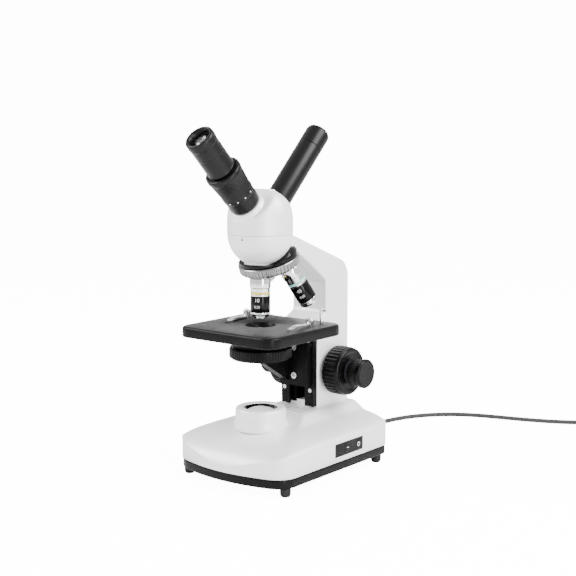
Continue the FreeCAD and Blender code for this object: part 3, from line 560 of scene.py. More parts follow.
# ---- base ----------------------------------------------------------------------------------------
@dataclass
class Base:
    """Bottom plate, feet, white shell, illuminator and mains switch."""

    shop: Workshop
    front_arc: float = 182.4
    front_corner: float = 13.0
    rear_corner: float = 7.0
    crown: float = 53.6
    deck_top: float = 61.0
    deck_half: float = 27.0
    deck_start: float = 26.0
    segments: int = 320
    rings: int = 64
    foot_radius: float = 5.4
    vent_rows: tuple[float, ...] = (40.6, 46.8, 52.3)
    vent_half: float = 21.5
    vent_width: float = 1.1
    well: float = 16.6
    lens_edge: float = 13.1
    edge_power: float = 2.6

    def __post_init__(self) -> None:
        """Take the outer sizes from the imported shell."""
        low, high = self.shop.box("base_shell")
        self.half, self.front, self.rear, self.plate_top = high[0], low[1], high[1], low[2]
        self.centre = np.array([0.0, (self.front + self.rear) / 2])

    def outline(self) -> np.ndarray:
        """Seen from above: straight sides and rear, and a front that is an arc of a large circle."""
        arc_half = self.half - 1.0
        across = np.linspace(-1.0, 1.0, 41)[1:-1] * (arc_half - self.front_corner)
        arc_centre = self.front + self.front_arc
        corner_y = arc_centre - math.sqrt(self.front_arc ** 2 - self.half ** 2)
        front = np.column_stack([across, arc_centre - np.sqrt(self.front_arc ** 2 - across ** 2)])
        corners = [(self.half, corner_y), (self.half, self.rear), (-self.half, self.rear),
                   (-self.half, corner_y)]
        t = np.linspace(0, 1, 12)[:, None]

        def bend(a: np.ndarray, corner: np.ndarray, b: np.ndarray) -> np.ndarray:
            """Parabola that touches the lines a-corner and corner-b."""
            return (1 - t) ** 2 * a + 2 * t * (1 - t) * corner + t ** 2 * b

        parts = [front]
        first = np.array(corners[0])
        parts.append(bend(front[-1], first, first + (0, self.front_corner * 1.3)))
        for corner, into, out in ((corners[1], (0, -1), (-1, 0)), (corners[2], (1, 0), (0, -1))):
            corner = np.array(corner)
            parts.append(bend(corner + np.array(into) * self.rear_corner, corner,
                              corner + np.array(out) * self.rear_corner))
        last = np.array(corners[3])
        parts.append(bend(last + (0, self.front_corner * 1.3), last, front[0]))
        return np.concatenate(parts)

    def height(self, x: np.ndarray, y: np.ndarray) -> np.ndarray:
        """Top of the shell: a crown that falls away as a long and a short exponential near each edge.

        Args:
            x: Places across.
            y: Places along.

        Returns:
            Heights above the table.
        """
        from_front = np.maximum(y - self.front, 0.0)
        from_side = np.maximum(self.half - np.abs(x), 0.0)
        from_rear = np.maximum(self.rear - y, 0.0)
        fall_front = 5.5 * np.exp(-from_front / 3.1) + 23.3 * np.exp(-from_front / 25.0)
        fall_side = 2.5 * np.exp(-from_side / 1.5) + 12.1 * np.exp(-from_side / 20.6) - 0.4
        fall_rear = 4.0 * np.exp(-from_rear / 1.4)
        power = self.edge_power
        fall = (fall_front ** power + np.maximum(fall_side, 0) ** power + fall_rear ** power) ** (1 / power)
        crown = self.crown - fall
        flank = self.deck_top + 1.2 - np.maximum(np.abs(x) - self.deck_half, 0.0) * 0.9
        ramp = self.deck_top - np.maximum(self.deck_start + 8 - y, 0.0) * 0.42
        stern = self.deck_top - np.maximum(y - (self.rear - 3.0), 0.0) ** 2 * 1.6
        deck = soft_low(soft_low(flank, ramp, 0.9), stern, 0.4)
        return soft_high(crown, deck, 0.9) - 0.3

    def shell(self) -> Shell:
        """Rings from the seam up the wall to the edge, then inwards over the crown."""
        angle = np.arange(self.segments) * TURN / self.segments
        reach = polar(self.outline(), angle, self.centre)
        spoke = np.stack([np.cos(angle), np.sin(angle)], axis=1)
        edge = self.centre + reach[:, None] * spoke
        edge_height = self.height(edge[:, 0], edge[:, 1])
        climbs = np.array([0.0, 0.04, 0.5, 0.97])
        tuck = np.array([0.9, 0.0, 0.0, 0.0])
        wall = [np.column_stack([self.centre + (reach - d)[:, None] * spoke,
                                 self.plate_top + (edge_height - self.plate_top) * c])
                for c, d in zip(climbs, tuck)]
        inward = 1 - np.linspace(0.0, 1.0, self.rings) ** 1.6 * 0.999
        top = []
        for share in inward:
            flat = self.centre + (reach * share)[:, None] * spoke
            top.append(np.column_stack([flat, self.height(flat[:, 0], flat[:, 1])]))
        return grid_shell(np.stack(wall + top), capped=True)

    def make(self) -> None:
        """Build every piece of the base."""
        shop, outline = self.shop, self.outline()
        plate_low = shop.box("base_plate")[0][2]
        shop.piece("base_casting", self.shell(), WHITE_ENAMEL, "stand", "white_enamel", ["base_shell"],
                   sharp=60)
        plate = prism(inset(outline, 0.8), plate_low, self.plate_top - 0.05, 1.6, np.eye(4))
        shop.piece("bottom_plate", plate, BASE_PLASTIC, "stand", "black_plastic", ["base_plate"])
        self.make_feet(plate_low)
        self.make_lamp()
        self.make_vents()
        self.make_switch()
        shop.dress(STEEL, "base_fasteners")
        shop.dress(BOARD, "power_board")
        shop.dress(BLACK_PLASTIC, "lamp_socket")
        shop.dress(LAMP, "lamp_bulb")

    def make_feet(self, top: float) -> None:
        """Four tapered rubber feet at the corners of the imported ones."""
        low, high = self.shop.box("rubber_feet")
        r = self.foot_radius
        feet = []
        for x in (low[0] + r, high[0] - r):
            for y in (low[1] + r, high[1] - r):
                profile = [(0, 0), (r - 1.2, 0), (r - 0.2, 2.4), (r, top - 0.1), (0, top - 0.1)]
                feet.append(turned(profile, along((x, y, 0), UP), radius=0.7, segments=32))
        self.shop.piece("feet", feet[0].joined(*feet[1:]), RUBBER, "stand", "rubber", ["rubber_feet"])

    def make_lamp(self) -> None:
        """Illuminator housing that flares into the base, its bezel and its lens."""
        shop = self.shop
        high = shop.box("lamp_housing")[1]
        r, top, well = high[0], high[2], self.well
        flare = self.height(np.array([0.0]), np.array([r]))[0]
        profile = [(well, top - 9), (r - 2, top - 23), (r + 1.6, flare - 7.0), (r + 1.4, flare - 2.2),
                   (r + 0.4, flare + 0.8), (r, flare + 3.5), (r - 0.1, top - 2.0), (r - 1.9, top - 0.15),
                   (well + 1.4, top), (well + 0.3, top - 0.8), (well, top - 3)]
        shop.piece("illuminator_housing", turned(profile, np.eye(4), 1.6, 128, steps=6), WHITE_ENAMEL,
                   "stand", "white_enamel", ["lamp_housing"], sharp=60)
        rim = self.lens_edge
        bezel = [(rim, top - 5.9), (well + 0.2, top - 5.9), (well + 0.2, top - 1.4), (well - 0.9, top - 1.1),
                 (14.4, top - 2.6), (rim, top - 3.8)]
        shop.piece("lens_bezel", turned(bezel, np.eye(4), 0.5, 96), BLACK_GLOSS, "stand", "black_plastic",
                   ["lens_ring"])
        edge = np.linspace(rim, 0.0, 14)
        dome = np.column_stack([edge, top - 0.7 - edge ** 2 / 60.0])
        base = [(0.0, top - 7.0), (rim, top - 7.0)]
        lens = turned(np.concatenate([base, dome]), np.eye(4), 0.05, 96, steps=3)
        shop.piece("field_lens", lens, FROSTED, "stand", "glass", ["collector_lens"], sharp=50)

    def make_vents(self) -> None:
        """Three cooling slots behind the illuminator, let into the deck: black slabs whose flush tops are
        painted shade, standing for the dark inside of the openings.
        """
        slots = []
        half, narrow = self.vent_half, self.vent_width / 2
        for y in self.vent_rows:
            outline = box_outline(-half, half, y - narrow, y + narrow, 0.5)
            top = float(self.height(np.array([half * 0.5]), np.array([y]))[0])
            # The black top sits just above the deck: painted shade where the slot's opening would be dark.
            slots.append(prism(outline, top - 2.0, top + 0.04, 0.03, np.eye(4), steps=2))
        self.shop.piece("vent_slots", slots[0].joined(*slots[1:]), BLACK_SATIN, "stand", "black_plastic")

    def make_switch(self) -> None:
        """Black panel in the right wall, with a rocker and two white marks: a ring and a small bar."""
        shop = self.shop
        low, high = shop.box("switch_panel")
        x = self.half
        side = axes(BACK, UP, RIGHT)
        frame = prism(box_outline(low[1], high[1], low[2], high[2], 1.5), x - 7.0, x + 0.2, 0.5, side)
        shop.piece("switch_plate", frame, BLACK_GLOSS, "stand", "black_plastic", ["switch_panel"])
        key_low, key_high = shop.box("power_switch")
        middle = (key_low[1] + key_high[1]) / 2
        outline = np.array([(key_low[1], x - 3.0), (key_high[1], x - 3.0), (key_high[1], x + 1.1),
                            (middle, x - 0.2), (key_low[1], x + 0.6)])
        key = prism(softened(outline, 0.7, 5), -key_high[2], -key_low[2], 0.5, axes(BACK, RIGHT, -UP))
        shop.piece("rocker_key", key, BLACK_GLOSS, "switch_rocker", "black_plastic", ["power_switch"])
        level = (low[2] + high[2]) / 2
        ring = turned([(1.5, 0.0), (2.3, 0.0), (2.3, 0.18), (1.5, 0.18)],
                      along((x + 0.75, key_high[1] - 6.0, level), RIGHT), 0.05, 32, steps=2)
        bar = prism(box_outline(key_low[1] + 4.0, key_low[1] + 6.6, level - 0.4, level + 0.4, 0.2),
                    x + 0.3, x + 0.48, 0.05, side, steps=2)
        shop.piece("rocker_marks", ring.joined(bar), WHITE_PRINT, "switch_rocker", "black_plastic")


# ---- limb ----------------------------------------------------------------------------------------
@dataclass
class Limb:
    """The white casting that carries the head above and the focusing guide in front."""

    shop: Workshop
    half: float = 22.0
    face: float = 64.5
    edge: float = 2.6
    sunk: float = 8.0
    slot_half: float = 6.0
    slot_end: float = 96.5
    slot_foot: float = 66.0
    slot_top: float = 145.9
    screw_aim: tuple[float, float, float] = (0.14, -1.0, 0.0)
    screw_drop: float = 3.2
    bowl_radius: float = 32.0
    seam: float = 242.7
    flange: float = 13.2

    def arm_outline(self) -> np.ndarray:
        """Side view in (y, z): column, shoulder and the arm that slopes down from the head."""
        low, high = self.shop.box("limb")
        rear, foot = high[1], low[2] - self.sunk
        corners = [(self.face, foot), (rear, foot), (rear, 196.5), (110, 208.0), (26, 240.6), (10, 240.6),
                   (10, 226), (36, 220), (51, 210), (78, 190.5), (78, 157), (self.face, 150.5)]
        return softened(corners, 4.5, 7)

    def arm(self) -> Shell:
        """Two cheeks with rounded outer rims and, between them, a core whose front holds the rack's slot."""
        outline = self.arm_outline()
        half, slot = self.half, self.slot_half
        upright = axes(BACK, UP, RIGHT)
        notch = [(self.face, self.slot_top), (self.slot_end, self.slot_top),
                 (self.slot_end, self.slot_foot), (self.face, self.slot_foot)]
        left = prism(outline, -half, -slot, self.edge, upright, 6, far_rim=0.0)
        right = prism(outline, slot, half, 0.0, upright, 6, far_rim=self.edge)
        core = prism(np.concatenate([outline, notch]), -slot - 0.02, slot + 0.02, 0.0, upright, 2)
        return left.joined(core, right)

    def make(self) -> None:
        """Build the arm with its bowl, and dress the screws and bushes."""
        shop = self.shop
        arm = self.arm()
        rise = np.linspace(213.8, self.seam, 26)
        bowl = np.column_stack([np.sqrt(self.bowl_radius ** 2 - (rise - self.seam) ** 2), rise])
        profile = np.concatenate([[(0, 212.3), (self.flange, 212.3), (self.flange, 213.2),
                                  (15.6, 213.3), (15.6, 214.9)], bowl[2:], [(0, self.seam)]])
        bowl_shell = turned(profile, np.eye(4), 0.35, 144, steps=3)
        shop.piece("limb_casting", arm.joined(bowl_shell), WHITE_ENAMEL, "stand", "white_enamel", ["limb"],
                   sharp=50)
        start = (0, 0, self.seam - self.screw_drop)
        # Black disc standing just proud of the bowl: painted shade of the lock screw's socket.
        painted_shade_disc = [(0, 30.0), (1.3, 30.0), (1.3, 31.9), (0.7, 32.0), (0, 31.2)]
        shop.piece("head_lock_screw", turned(painted_shade_disc, along(start, self.screw_aim), 0.1, 24, steps=2),
                   BLACK_SATIN, "stand", "bright_steel")
        self.make_backing()
        shop.dress(STEEL, "limb_screws")
        shop.dress(BRASS, "shaft_bushes")

    def make_backing(self) -> None:
        """Dark lining between the guide rails: two strips on the face and a channel in the slot."""
        low, high = self.shop.box("guide_rails")
        foot, top, front = low[2] + 1.5, high[2] + 8.0, self.face - 0.75
        inner, outer = self.slot_half - 0.6, 12.9
        wall, face = self.slot_half - 0.05, self.face - 0.05
        half = [(outer, front), (outer, face), (wall, face), (wall, self.slot_end - 0.05)]
        well = [(inner, self.slot_end - 0.7), (inner, front)]
        outline = np.array(half + [(-x, y) for x, y in half[::-1]]
                           + [(-x, y) for x, y in well[::-1]] + well)
        lining = prism(outline, foot, top, 0.0, np.eye(4), 2)
        self.shop.piece("guide_lining", lining, BLACK_SATIN, "stand", "black_enamel")


# ---- focusing ------------------------------------------------------------------------------------
@dataclass
class Focusing:
    """Guide, rack and the coaxial knobs on both sides."""

    shop: Workshop
    coarse_radius: float = 25.0
    fine_radius: float = 15.0
    coarse_ribs: int = 36
    fine_ribs: int = 40

    def make(self) -> None:
        """Build the knobs of both sides and dress the guide."""
        shop = self.shop
        low, high = shop.box("coarse_knob_right")
        centre = np.array([0.0, (low[1] + high[1]) / 2, (low[2] + high[2]) / 2])
        start = low[0]
        for side, word in ((-1, "left"), (1, "right")):
            frame = along(centre, RIGHT * side)
            self.coarse_knob(frame, word, start)
            self.fine_knob(frame, word, start)
        shop.dress(BLACK_SATIN, "guide_rails", "slide_block")
        shop.dress(BRASS, "rack")
        shop.dress(STEEL, "coarse_shaft", "fine_shaft")

    def coarse_knob(self, frame: np.ndarray, word: str, start: float) -> None:
        """Broad ribbed knob with a raised glossy rim and a dished face."""
        r, a = self.coarse_radius, start
        profile = [(4.2, a), (r - 1.6, a), (r, a + 1.4), (r, a + 15.6), (r - 0.6, a + 16.2),
                   (r - 0.6, a + 18.4), (r - 2.2, a + 19.9), (r - 4.6, a + 19.9), (r - 6.2, a + 18.6),
                   (13.2, a + 18.2), (4.2, a + 18.2)]
        ribs = Ribs(self.coarse_ribs, 0.75, a + 1.3, a + 15.9, breadth=1.1)
        shell = turned(profile, frame, 0.8, self.coarse_ribs * 8, ribs, steps=5)
        self.shop.piece("coarse_grip_" + word, shell, BLACK_PLASTIC, "coarse_drive", "black_plastic",
                        ["coarse_knob_" + word], sharp=45)

    def fine_knob(self, frame: np.ndarray, word: str, start: float) -> None:
        """Smaller knob with fine ribs, a smooth lip and a nearly flat end."""
        r, a = self.fine_radius, start
        profile = [(0, a + 23.1), (r - 2.4, a + 23.1), (r - 1.2, a + 24.6), (r - 0.7, a + 26),
                   (r - 0.7, a + 34.0), (r, a + 35.2), (r, a + 38.3), (r - 1.6, a + 39.8),
                   (r - 4.0, a + 39.6), (0, a + 39.2)]
        ribs = Ribs(self.fine_ribs, 0.4, a + 25.8, a + 34.2, breadth=0.9)
        shell = turned(profile, frame, 0.9, self.fine_ribs * 6, ribs, steps=5)
        self.shop.piece("fine_grip_" + word, shell, BLACK_PLASTIC, "fine_drive", "black_plastic",
                        ["fine_knob_" + word], sharp=45)


# ---- stage ---------------------------------------------------------------------------------------
@dataclass
class Stage:
    """Stage plate with its spring clips, the bracket under it, the condenser and the iris ring."""

    shop: Workshop
    hole: float = 15.0
    corner: float = 15.0
    top_edge: float = 2.8
    under_edge: float = 1.3
    clip_width: float = 7.0
    clip_heel: float = 6.0
    clip_blade: float = 37.0
    clip_thickness: float = 0.8
    clip_pivot: tuple[float, float] = (41.0, 27.0)
    stop_pin: tuple[float, float] = (46.5, 37.5)

    def plate(self) -> Shell:
        """Loops from the hole outwards over the top, round the rim and back under the plate."""
        low, high = self.shop.box("stage_plate")
        outline = box_outline(low[0], high[0], low[1], high[1], self.corner, 12)
        dense = np.concatenate([outline, (outline + np.roll(outline, -1, axis=0)) / 2])
        angle = np.unique(np.concatenate([np.arange(240) * TURN / 240 - math.pi,
                                          np.arctan2(dense[:, 1], dense[:, 0])]))
        reach = polar(outline, angle, (0, 0))
        loops = []
        quarter = np.linspace(0, math.pi / 2, 6)
        for draw, level in ((0.0, low[2]), (0.0, high[2] - 0.6), (-0.6, high[2])):
            loops.append((np.full_like(reach, self.hole) - draw, level))
        for turn in quarter:
            loops.append((reach - self.top_edge * (1 - math.sin(turn)),
                          high[2] - self.top_edge * (1 - math.cos(turn))))
        for turn in quarter:
            loops.append((reach - self.under_edge * (1 - math.cos(turn)),
                          low[2] + self.under_edge * (1 - math.sin(turn))))
        grid = np.stack([np.column_stack([r * np.cos(angle), r * np.sin(angle), np.full_like(r, z)])
                         for r, z in loops])
        return grid_shell(grid, round_rows=True)

    def clip(self, pivot: Sequence[float], swing: float, top: float) -> Shell:
        """A springy strip: a flat heel round the pivot, an arched blade and a curled tip.

        Its middle line is a curve through a few heights, its width narrows towards the tip, and its thickness
        is added along +Z.

        Args:
            pivot: Where it turns, across and along.
            swing: Angle of the blade in degrees.
            top: Level of the stage.

        Returns:
            A closed shell.
        """
        reach = np.linspace(self.clip_heel, -self.clip_blade, 60)
        distances = [-self.clip_heel, 3, 10, 18, 26, 31, 34, self.clip_blade]
        levels = [1.2, 1.2, 1.3, 2.4, 2.6, 1.0, 0.35, 1.9]
        rise = np.interp(-reach, distances, levels)
        smooth = np.convolve(np.pad(rise, 3, mode="edge"), np.ones(7) / 7, mode="valid")
        heel = np.sqrt(np.clip(1 - (reach / (self.clip_heel + 0.02)) ** 2, 0.02, 1))
        blade = 1 - 0.12 * (-reach / self.clip_blade)
        half = self.clip_width / 2 * np.minimum(1.0, heel * (reach > 0) + (reach <= 0) * blade)
        tip = np.clip((reach + self.clip_blade) / 2.5, 0.0, 1.0)
        half = half * (0.55 + 0.45 * np.sqrt(tip))
        thick = self.clip_thickness
        corners = [(-1, 0.0), (1, 0.0), (1, thick), (-1, thick)]
        grid = np.stack([np.column_stack([half * s, reach, top + smooth + t]) for s, t in corners], axis=1)
        angle = math.radians(swing)
        frame = np.eye(4)
        frame[:2, :2] = [[math.cos(angle), -math.sin(angle)], [math.sin(angle), math.cos(angle)]]
        frame[:2, 3] = pivot
        return grid_shell(grid, capped=True).moved(frame)

    def make(self) -> None:
        """Build every piece of the stage."""
        shop = self.shop
        top = shop.box("stage_plate")[1][2]
        shop.piece("stage_table", self.plate(), BLACK_STAGE, "stage_carriage", "black_enamel",
                   ["stage_plate"], sharp=50)
        nuts, posts = [], []
        for side, word, swing in ((-1, "left", 8.0), (1, "right", 3.5)):
            pivot = (side * self.clip_pivot[0], self.clip_pivot[1])
            shop.piece("spring_clip_" + word, self.clip(pivot, swing, top), CHROME, word + "_clip",
                       "chrome_plate", ["stage_clip_" + word], sharp=40)
            upright = along((*pivot, 0.0), UP)
            nut = [(2.05, top + 2.1), (3.9, top + 2.1), (3.9, top + 7.0), (3.3, top + 7.6), (2.05, top + 7.6)]
            nuts.append(turned(nut, upright, 0.35, 96, Ribs(24, 0.25, top + 2.6, top + 6.8), steps=3))
            stud = [(0, top - 5.5), (1.95, top - 5.5), (1.95, top + 8.2), (1.4, top + 8.8), (0, top + 8.8)]
            posts.append(turned(stud, upright, 0.3, 32, steps=3))
        shop.piece("knurled_nuts", nuts[0].joined(*nuts[1:]), CHROME, "stage_carriage", "chrome_plate",
                   ["clip_nuts"])
        pin = [(0, top - 4.5), (1.7, top - 4.5), (1.7, top + 15.6), (1.0, top + 16.5), (0, top + 16.5)]
        posts.append(turned(pin, along((*self.stop_pin, 0), UP), 0.3, 32, steps=3))
        lever = along((*self.stop_pin, top + 14.5), (1, -0.15, 0))
        posts.append(turned([(0, 0.5), (0.9, 0.5), (0.9, 7.4), (0.5, 8.0), (0, 8.0)], lever, 0.2, 24,
                            steps=3))
        shop.piece("posts", posts[0].joined(*posts[1:]), CHROME, "stage_carriage", "chrome_plate",
                   ["stage_posts"])
        self.make_condenser()
        shop.dress(BLACK_SATIN, "stage_bracket")
        shop.dress(STEEL, "stage_fasteners")

    def make_condenser(self) -> None:
        """Condenser housing with its ribbed iris ring."""
        shop = self.shop
        low, high = shop.box("condenser_housing")
        foot, top = low[2], high[2]
        ring_low, ring_high = shop.box("iris_ring")
        r = ring_high[0]
        housing = [(14.5, foot), (28.4, foot), (28.4, ring_low[2] - 0.3), (23.8, ring_low[2] - 0.3),
                   (23.8, ring_high[2] + 0.5), (27.0, ring_high[2] + 0.5), (27.0, top - 0.1),
                   (14.5, top - 0.1)]
        shop.piece("condenser_mount", turned(housing, np.eye(4), 0.5, 96), BLACK_SATIN, "stage_carriage",
                   "black_plastic", ["condenser_housing"])
        ring = [(24.05, ring_low[2]), (r - 0.9, ring_low[2]), (r, ring_low[2] + 0.9), (r, ring_high[2] - 1.6),
                (r - 0.9, ring_high[2]), (24.05, ring_high[2])]
        ribs = Ribs(64, 0.6, ring_low[2] + 0.7, ring_high[2] - 1.4, breadth=1.2)
        shop.piece("iris_collar", turned(ring, np.eye(4), 0.5, 64 * 6, ribs), BLACK_PLASTIC, "iris",
                   "black_plastic", ["iris_ring"], sharp=45)
        shop.dress(GLASS, "condenser_lens")


# ---- nosepiece -----------------------------------------------------------------------------------
@dataclass(frozen=True)
class Objective:
    """Sizes of one objective along its own axis, measured from where the axes cross."""

    name: str
    turn: float
    tip: float
    sleeve: tuple[float, float]
    band: tuple[float, float]
    tip_radius: float
    paint: Finish
    marks: tuple[str, str]


@dataclass
class Nosepiece:
    """Tilted mount, turret with its grip ring, and three objectives."""

    shop: Workshop
    apex_height: float = 253.0
    tilt: float = math.radians(19.0)
    ring_radius: float = 30.6
    lip_level: float = 213.4
    ring_ribs: int = 46
    barrel: float = 9.65

    def __post_init__(self) -> None:
        """Axis of the turret, from the point where the objective axes cross."""
        self.apex = np.array([0.0, 0.0, self.apex_height])
        self.axis = np.array([0.0, math.sin(self.tilt), -math.cos(self.tilt)])
        self.frame = along(self.apex, self.axis)

    def objective_axis(self, turn: float) -> np.ndarray:
        """Direction of an objective: straight down, turned about the turret's axis.

        Args:
            turn: Angle in degrees.

        Returns:
            A unit vector, by the rule v cos t + (k x v) sin t + k (k.v)(1 - cos t).
        """
        t, down, k = math.radians(turn), -UP, self.axis
        return down * math.cos(t) + np.cross(k, down) * math.sin(t) + k * (k @ down) * (1 - math.cos(t))

    def make(self) -> None:
        """Build the mount, the turret and the objectives."""
        shop = self.shop
        mount = [(0, 27.5), (24.0, 27.5), (27.6, 30.0), (29.4, 33.2), (29.5, 36.9), (25.4, 37.1),
                 (25.4, 40.6), (0, 40.6)]
        collar = turned(mount, self.frame, 1.2, 128, steps=6)
        y = collar.points[:, 1]
        collar.points[:, 2] = np.minimum(collar.points[:, 2], self.lip_level + 0.9 * np.maximum(y + 2.0, 0.0))
        shop.piece("turret_mount", collar, BLACK_GLOSS, "stand",
                   "black_enamel", ["nosepiece_mount"])
        turret = [(4.2, 41.3), (29.0, 41.3), (29.0, 46.2), (26.8, 47.8), (19.0, 50.0), (10, 52.4),
                  (4.2, 52.4)]
        dish = turned(turret, self.frame, 0.6, 128, steps=5)
        seats = [turned([(9.1, 46.5), (10.9, 46.5), (10.9, 53.9), (9.1, 53.9)],
                        along(self.apex, self.objective_axis(t)), 0.3, 72) for t in (0, 120, 240)]
        shop.piece("turret_body", dish.joined(*seats), SATIN_CHROME, "turret", "chrome_plate",
                   ["nosepiece_turret"])
        r = self.ring_radius
        ring = [(28.9, 37.4), (r - 0.9, 37.4), (r - 0.1, 38.3), (r, 38.8), (r, 45.0), (r - 0.4, 45.5),
                (r - 1.0, 46.0), (28.9, 46.0)]
        ribs = Ribs(self.ring_ribs, 1.0, 38.9, 45.3, 1.3)
        grip = turned(ring, self.frame, 0.5, self.ring_ribs * 6, ribs, steps=4)
        shop.piece("turret_grip", grip, SATIN_CHROME, "turret", "chrome_plate", ["turret_grip_ring"],
                   sharp=45)
        shop.dress(STEEL, "turret_axle")
        shop.dress(GLASS, "objective_lenses")
        for design in (
                Objective("ten", 0, 92.9, (71.2, 87.2), (67.1, 69.3), 6.8, YELLOW_BAND, ("10", "0.25")),
                Objective("forty", 240, 98.3, (72.5, 91.0), (68.4, 70.6), 5.0, TEAL_BAND, ("40", "0.65")),
                Objective("four", 120, 71.0, (64.9, 68.2), (62.5, 64.5), 7.5, RED_BAND, ("4", "0.10"))):
            self.make_objective(design)

    def make_objective(self, design: Objective) -> None:
        """Build one objective: chrome barrel, painted band, black sleeve and its figures."""
        shop, r = self.shop, self.barrel
        frame = along(self.apex, self.objective_axis(design.turn))
        band_low, band_high = design.band
        sleeve_low, sleeve_high = design.sleeve
        tip, tip_radius = design.tip, design.tip_radius
        long_body = sleeve_high - sleeve_low > 5.0
        if long_body:
            barrel = [(5.0, 48.0), (9.0, 48.0), (9.0, 54.1), (10.3, 54.1), (10.3, 62.9), (r, 63.4),
                      (r, band_low), (r - 0.25, band_low + 0.1), (r - 0.25, band_high - 0.1),
                      (r, band_high), (r, sleeve_low), (r - 0.3, sleeve_low + 0.1),
                      (r - 0.3, sleeve_high - 0.1), (r, sleeve_high), (r, tip - 3.6), (r - 1.6, tip - 1.8),
                      (tip_radius, tip - 0.6), (tip_radius - 0.5, tip), (4.1, tip), (4.0, tip - 2),
                      (5, tip - 5)]
        else:
            barrel = [(5.0, 48.0), (9.0, 48.0), (9.0, 54.1), (10.3, 54.1), (10.3, band_low),
                      (r, band_low + 0.3), (r, band_high), (r, sleeve_high), (tip_radius, tip), (4.1, tip),
                      (4.0, tip - 2), (5.0, tip - 5)]
        nodes = ["objective_" + design.name + "_barrel"]
        shop.piece("barrel_" + design.name, turned(barrel, frame, 0.3, 96, steps=3), CHROME, "turret",
                   "chrome_plate", nodes)
        band = [(r - 0.6, band_low), (r + 0.05, band_low), (r + 0.05, band_high), (r - 0.6, band_high)]
        shop.piece("band_" + design.name, turned(band, frame, 0.1, 96, steps=3), design.paint, "turret",
                   "chrome_plate")
        if not long_body:
            return
        sleeve = [(r - 1.0, sleeve_low), (r + 0.12, sleeve_low), (r + 0.12, sleeve_high),
                  (r - 1.0, sleeve_high)]
        covered = ["objective_sleeves"] if design.name == "ten" else []
        shop.piece("sleeve_" + design.name, turned(sleeve, frame, 0.25, 96, steps=3), BLACK_GLOSS, "turret",
                   "black_anodised", covered)
        self.print_figures(design, frame)

    def print_figures(self, design: Objective, frame: np.ndarray) -> None:
        """Wrap the magnification and the aperture round the sleeve, facing outwards on the user's right.

        A flat letter at (u, v) goes to angle a0 + u / r and distance d0 + v, a little proud of the sleeve.
        """
        r = self.barrel + 0.14
        middle = sum(design.sleeve) / 2
        points, faces, count = [], [], 0
        for text, offset, size in ((design.marks[0], 2.6, 5.2), (design.marks[1], -3.4, 3.6)):
            curve = bpy.data.curves.new("figures", "FONT")
            curve.body, curve.size, curve.align_x = text, size, "CENTER"
            holder = bpy.data.objects.new("figures", curve)
            bpy.context.scene.collection.objects.link(holder)
            bpy.context.view_layer.update()
            graph = bpy.context.evaluated_depsgraph_get()
            flat = bpy.data.meshes.new_from_object(holder.evaluated_get(graph))
            co = np.zeros(len(flat.vertices) * 3)
            flat.vertices.foreach_get("co", co)
            co = co.reshape(-1, 3)
            angle = self.figure_angle(frame) - co[:, 0] / r
            points.append(np.column_stack([r * np.cos(angle), r * np.sin(angle), middle - offset - co[:, 1]]))
            faces += [[v + count for v in face.vertices] for face in flat.polygons]
            count += len(co)
            bpy.data.objects.remove(holder)
        local = np.concatenate(points)
        name = "figures_" + design.name
        mesh = bpy.data.meshes.new(name)
        world = self.shop.place(local @ frame[:3, :3].T + frame[:3, 3])
        mesh.from_pydata(world.tolist(), [], faces)
        mesh.materials.append(WHITE_PRINT.material())
        made = bpy.data.objects.new(name, mesh)
        bpy.context.scene.collection.objects.link(made)
        self.shop.fitted(made, "turret", "black_anodised")

    @staticmethod
    def figure_angle(frame: np.ndarray) -> float:
        """Angle about an objective's axis that faces the user's right hand."""
        facing = np.array([0.35, -0.93, 0.0])
        return math.atan2(facing @ frame[:3, 1], facing @ frame[:3, 0])


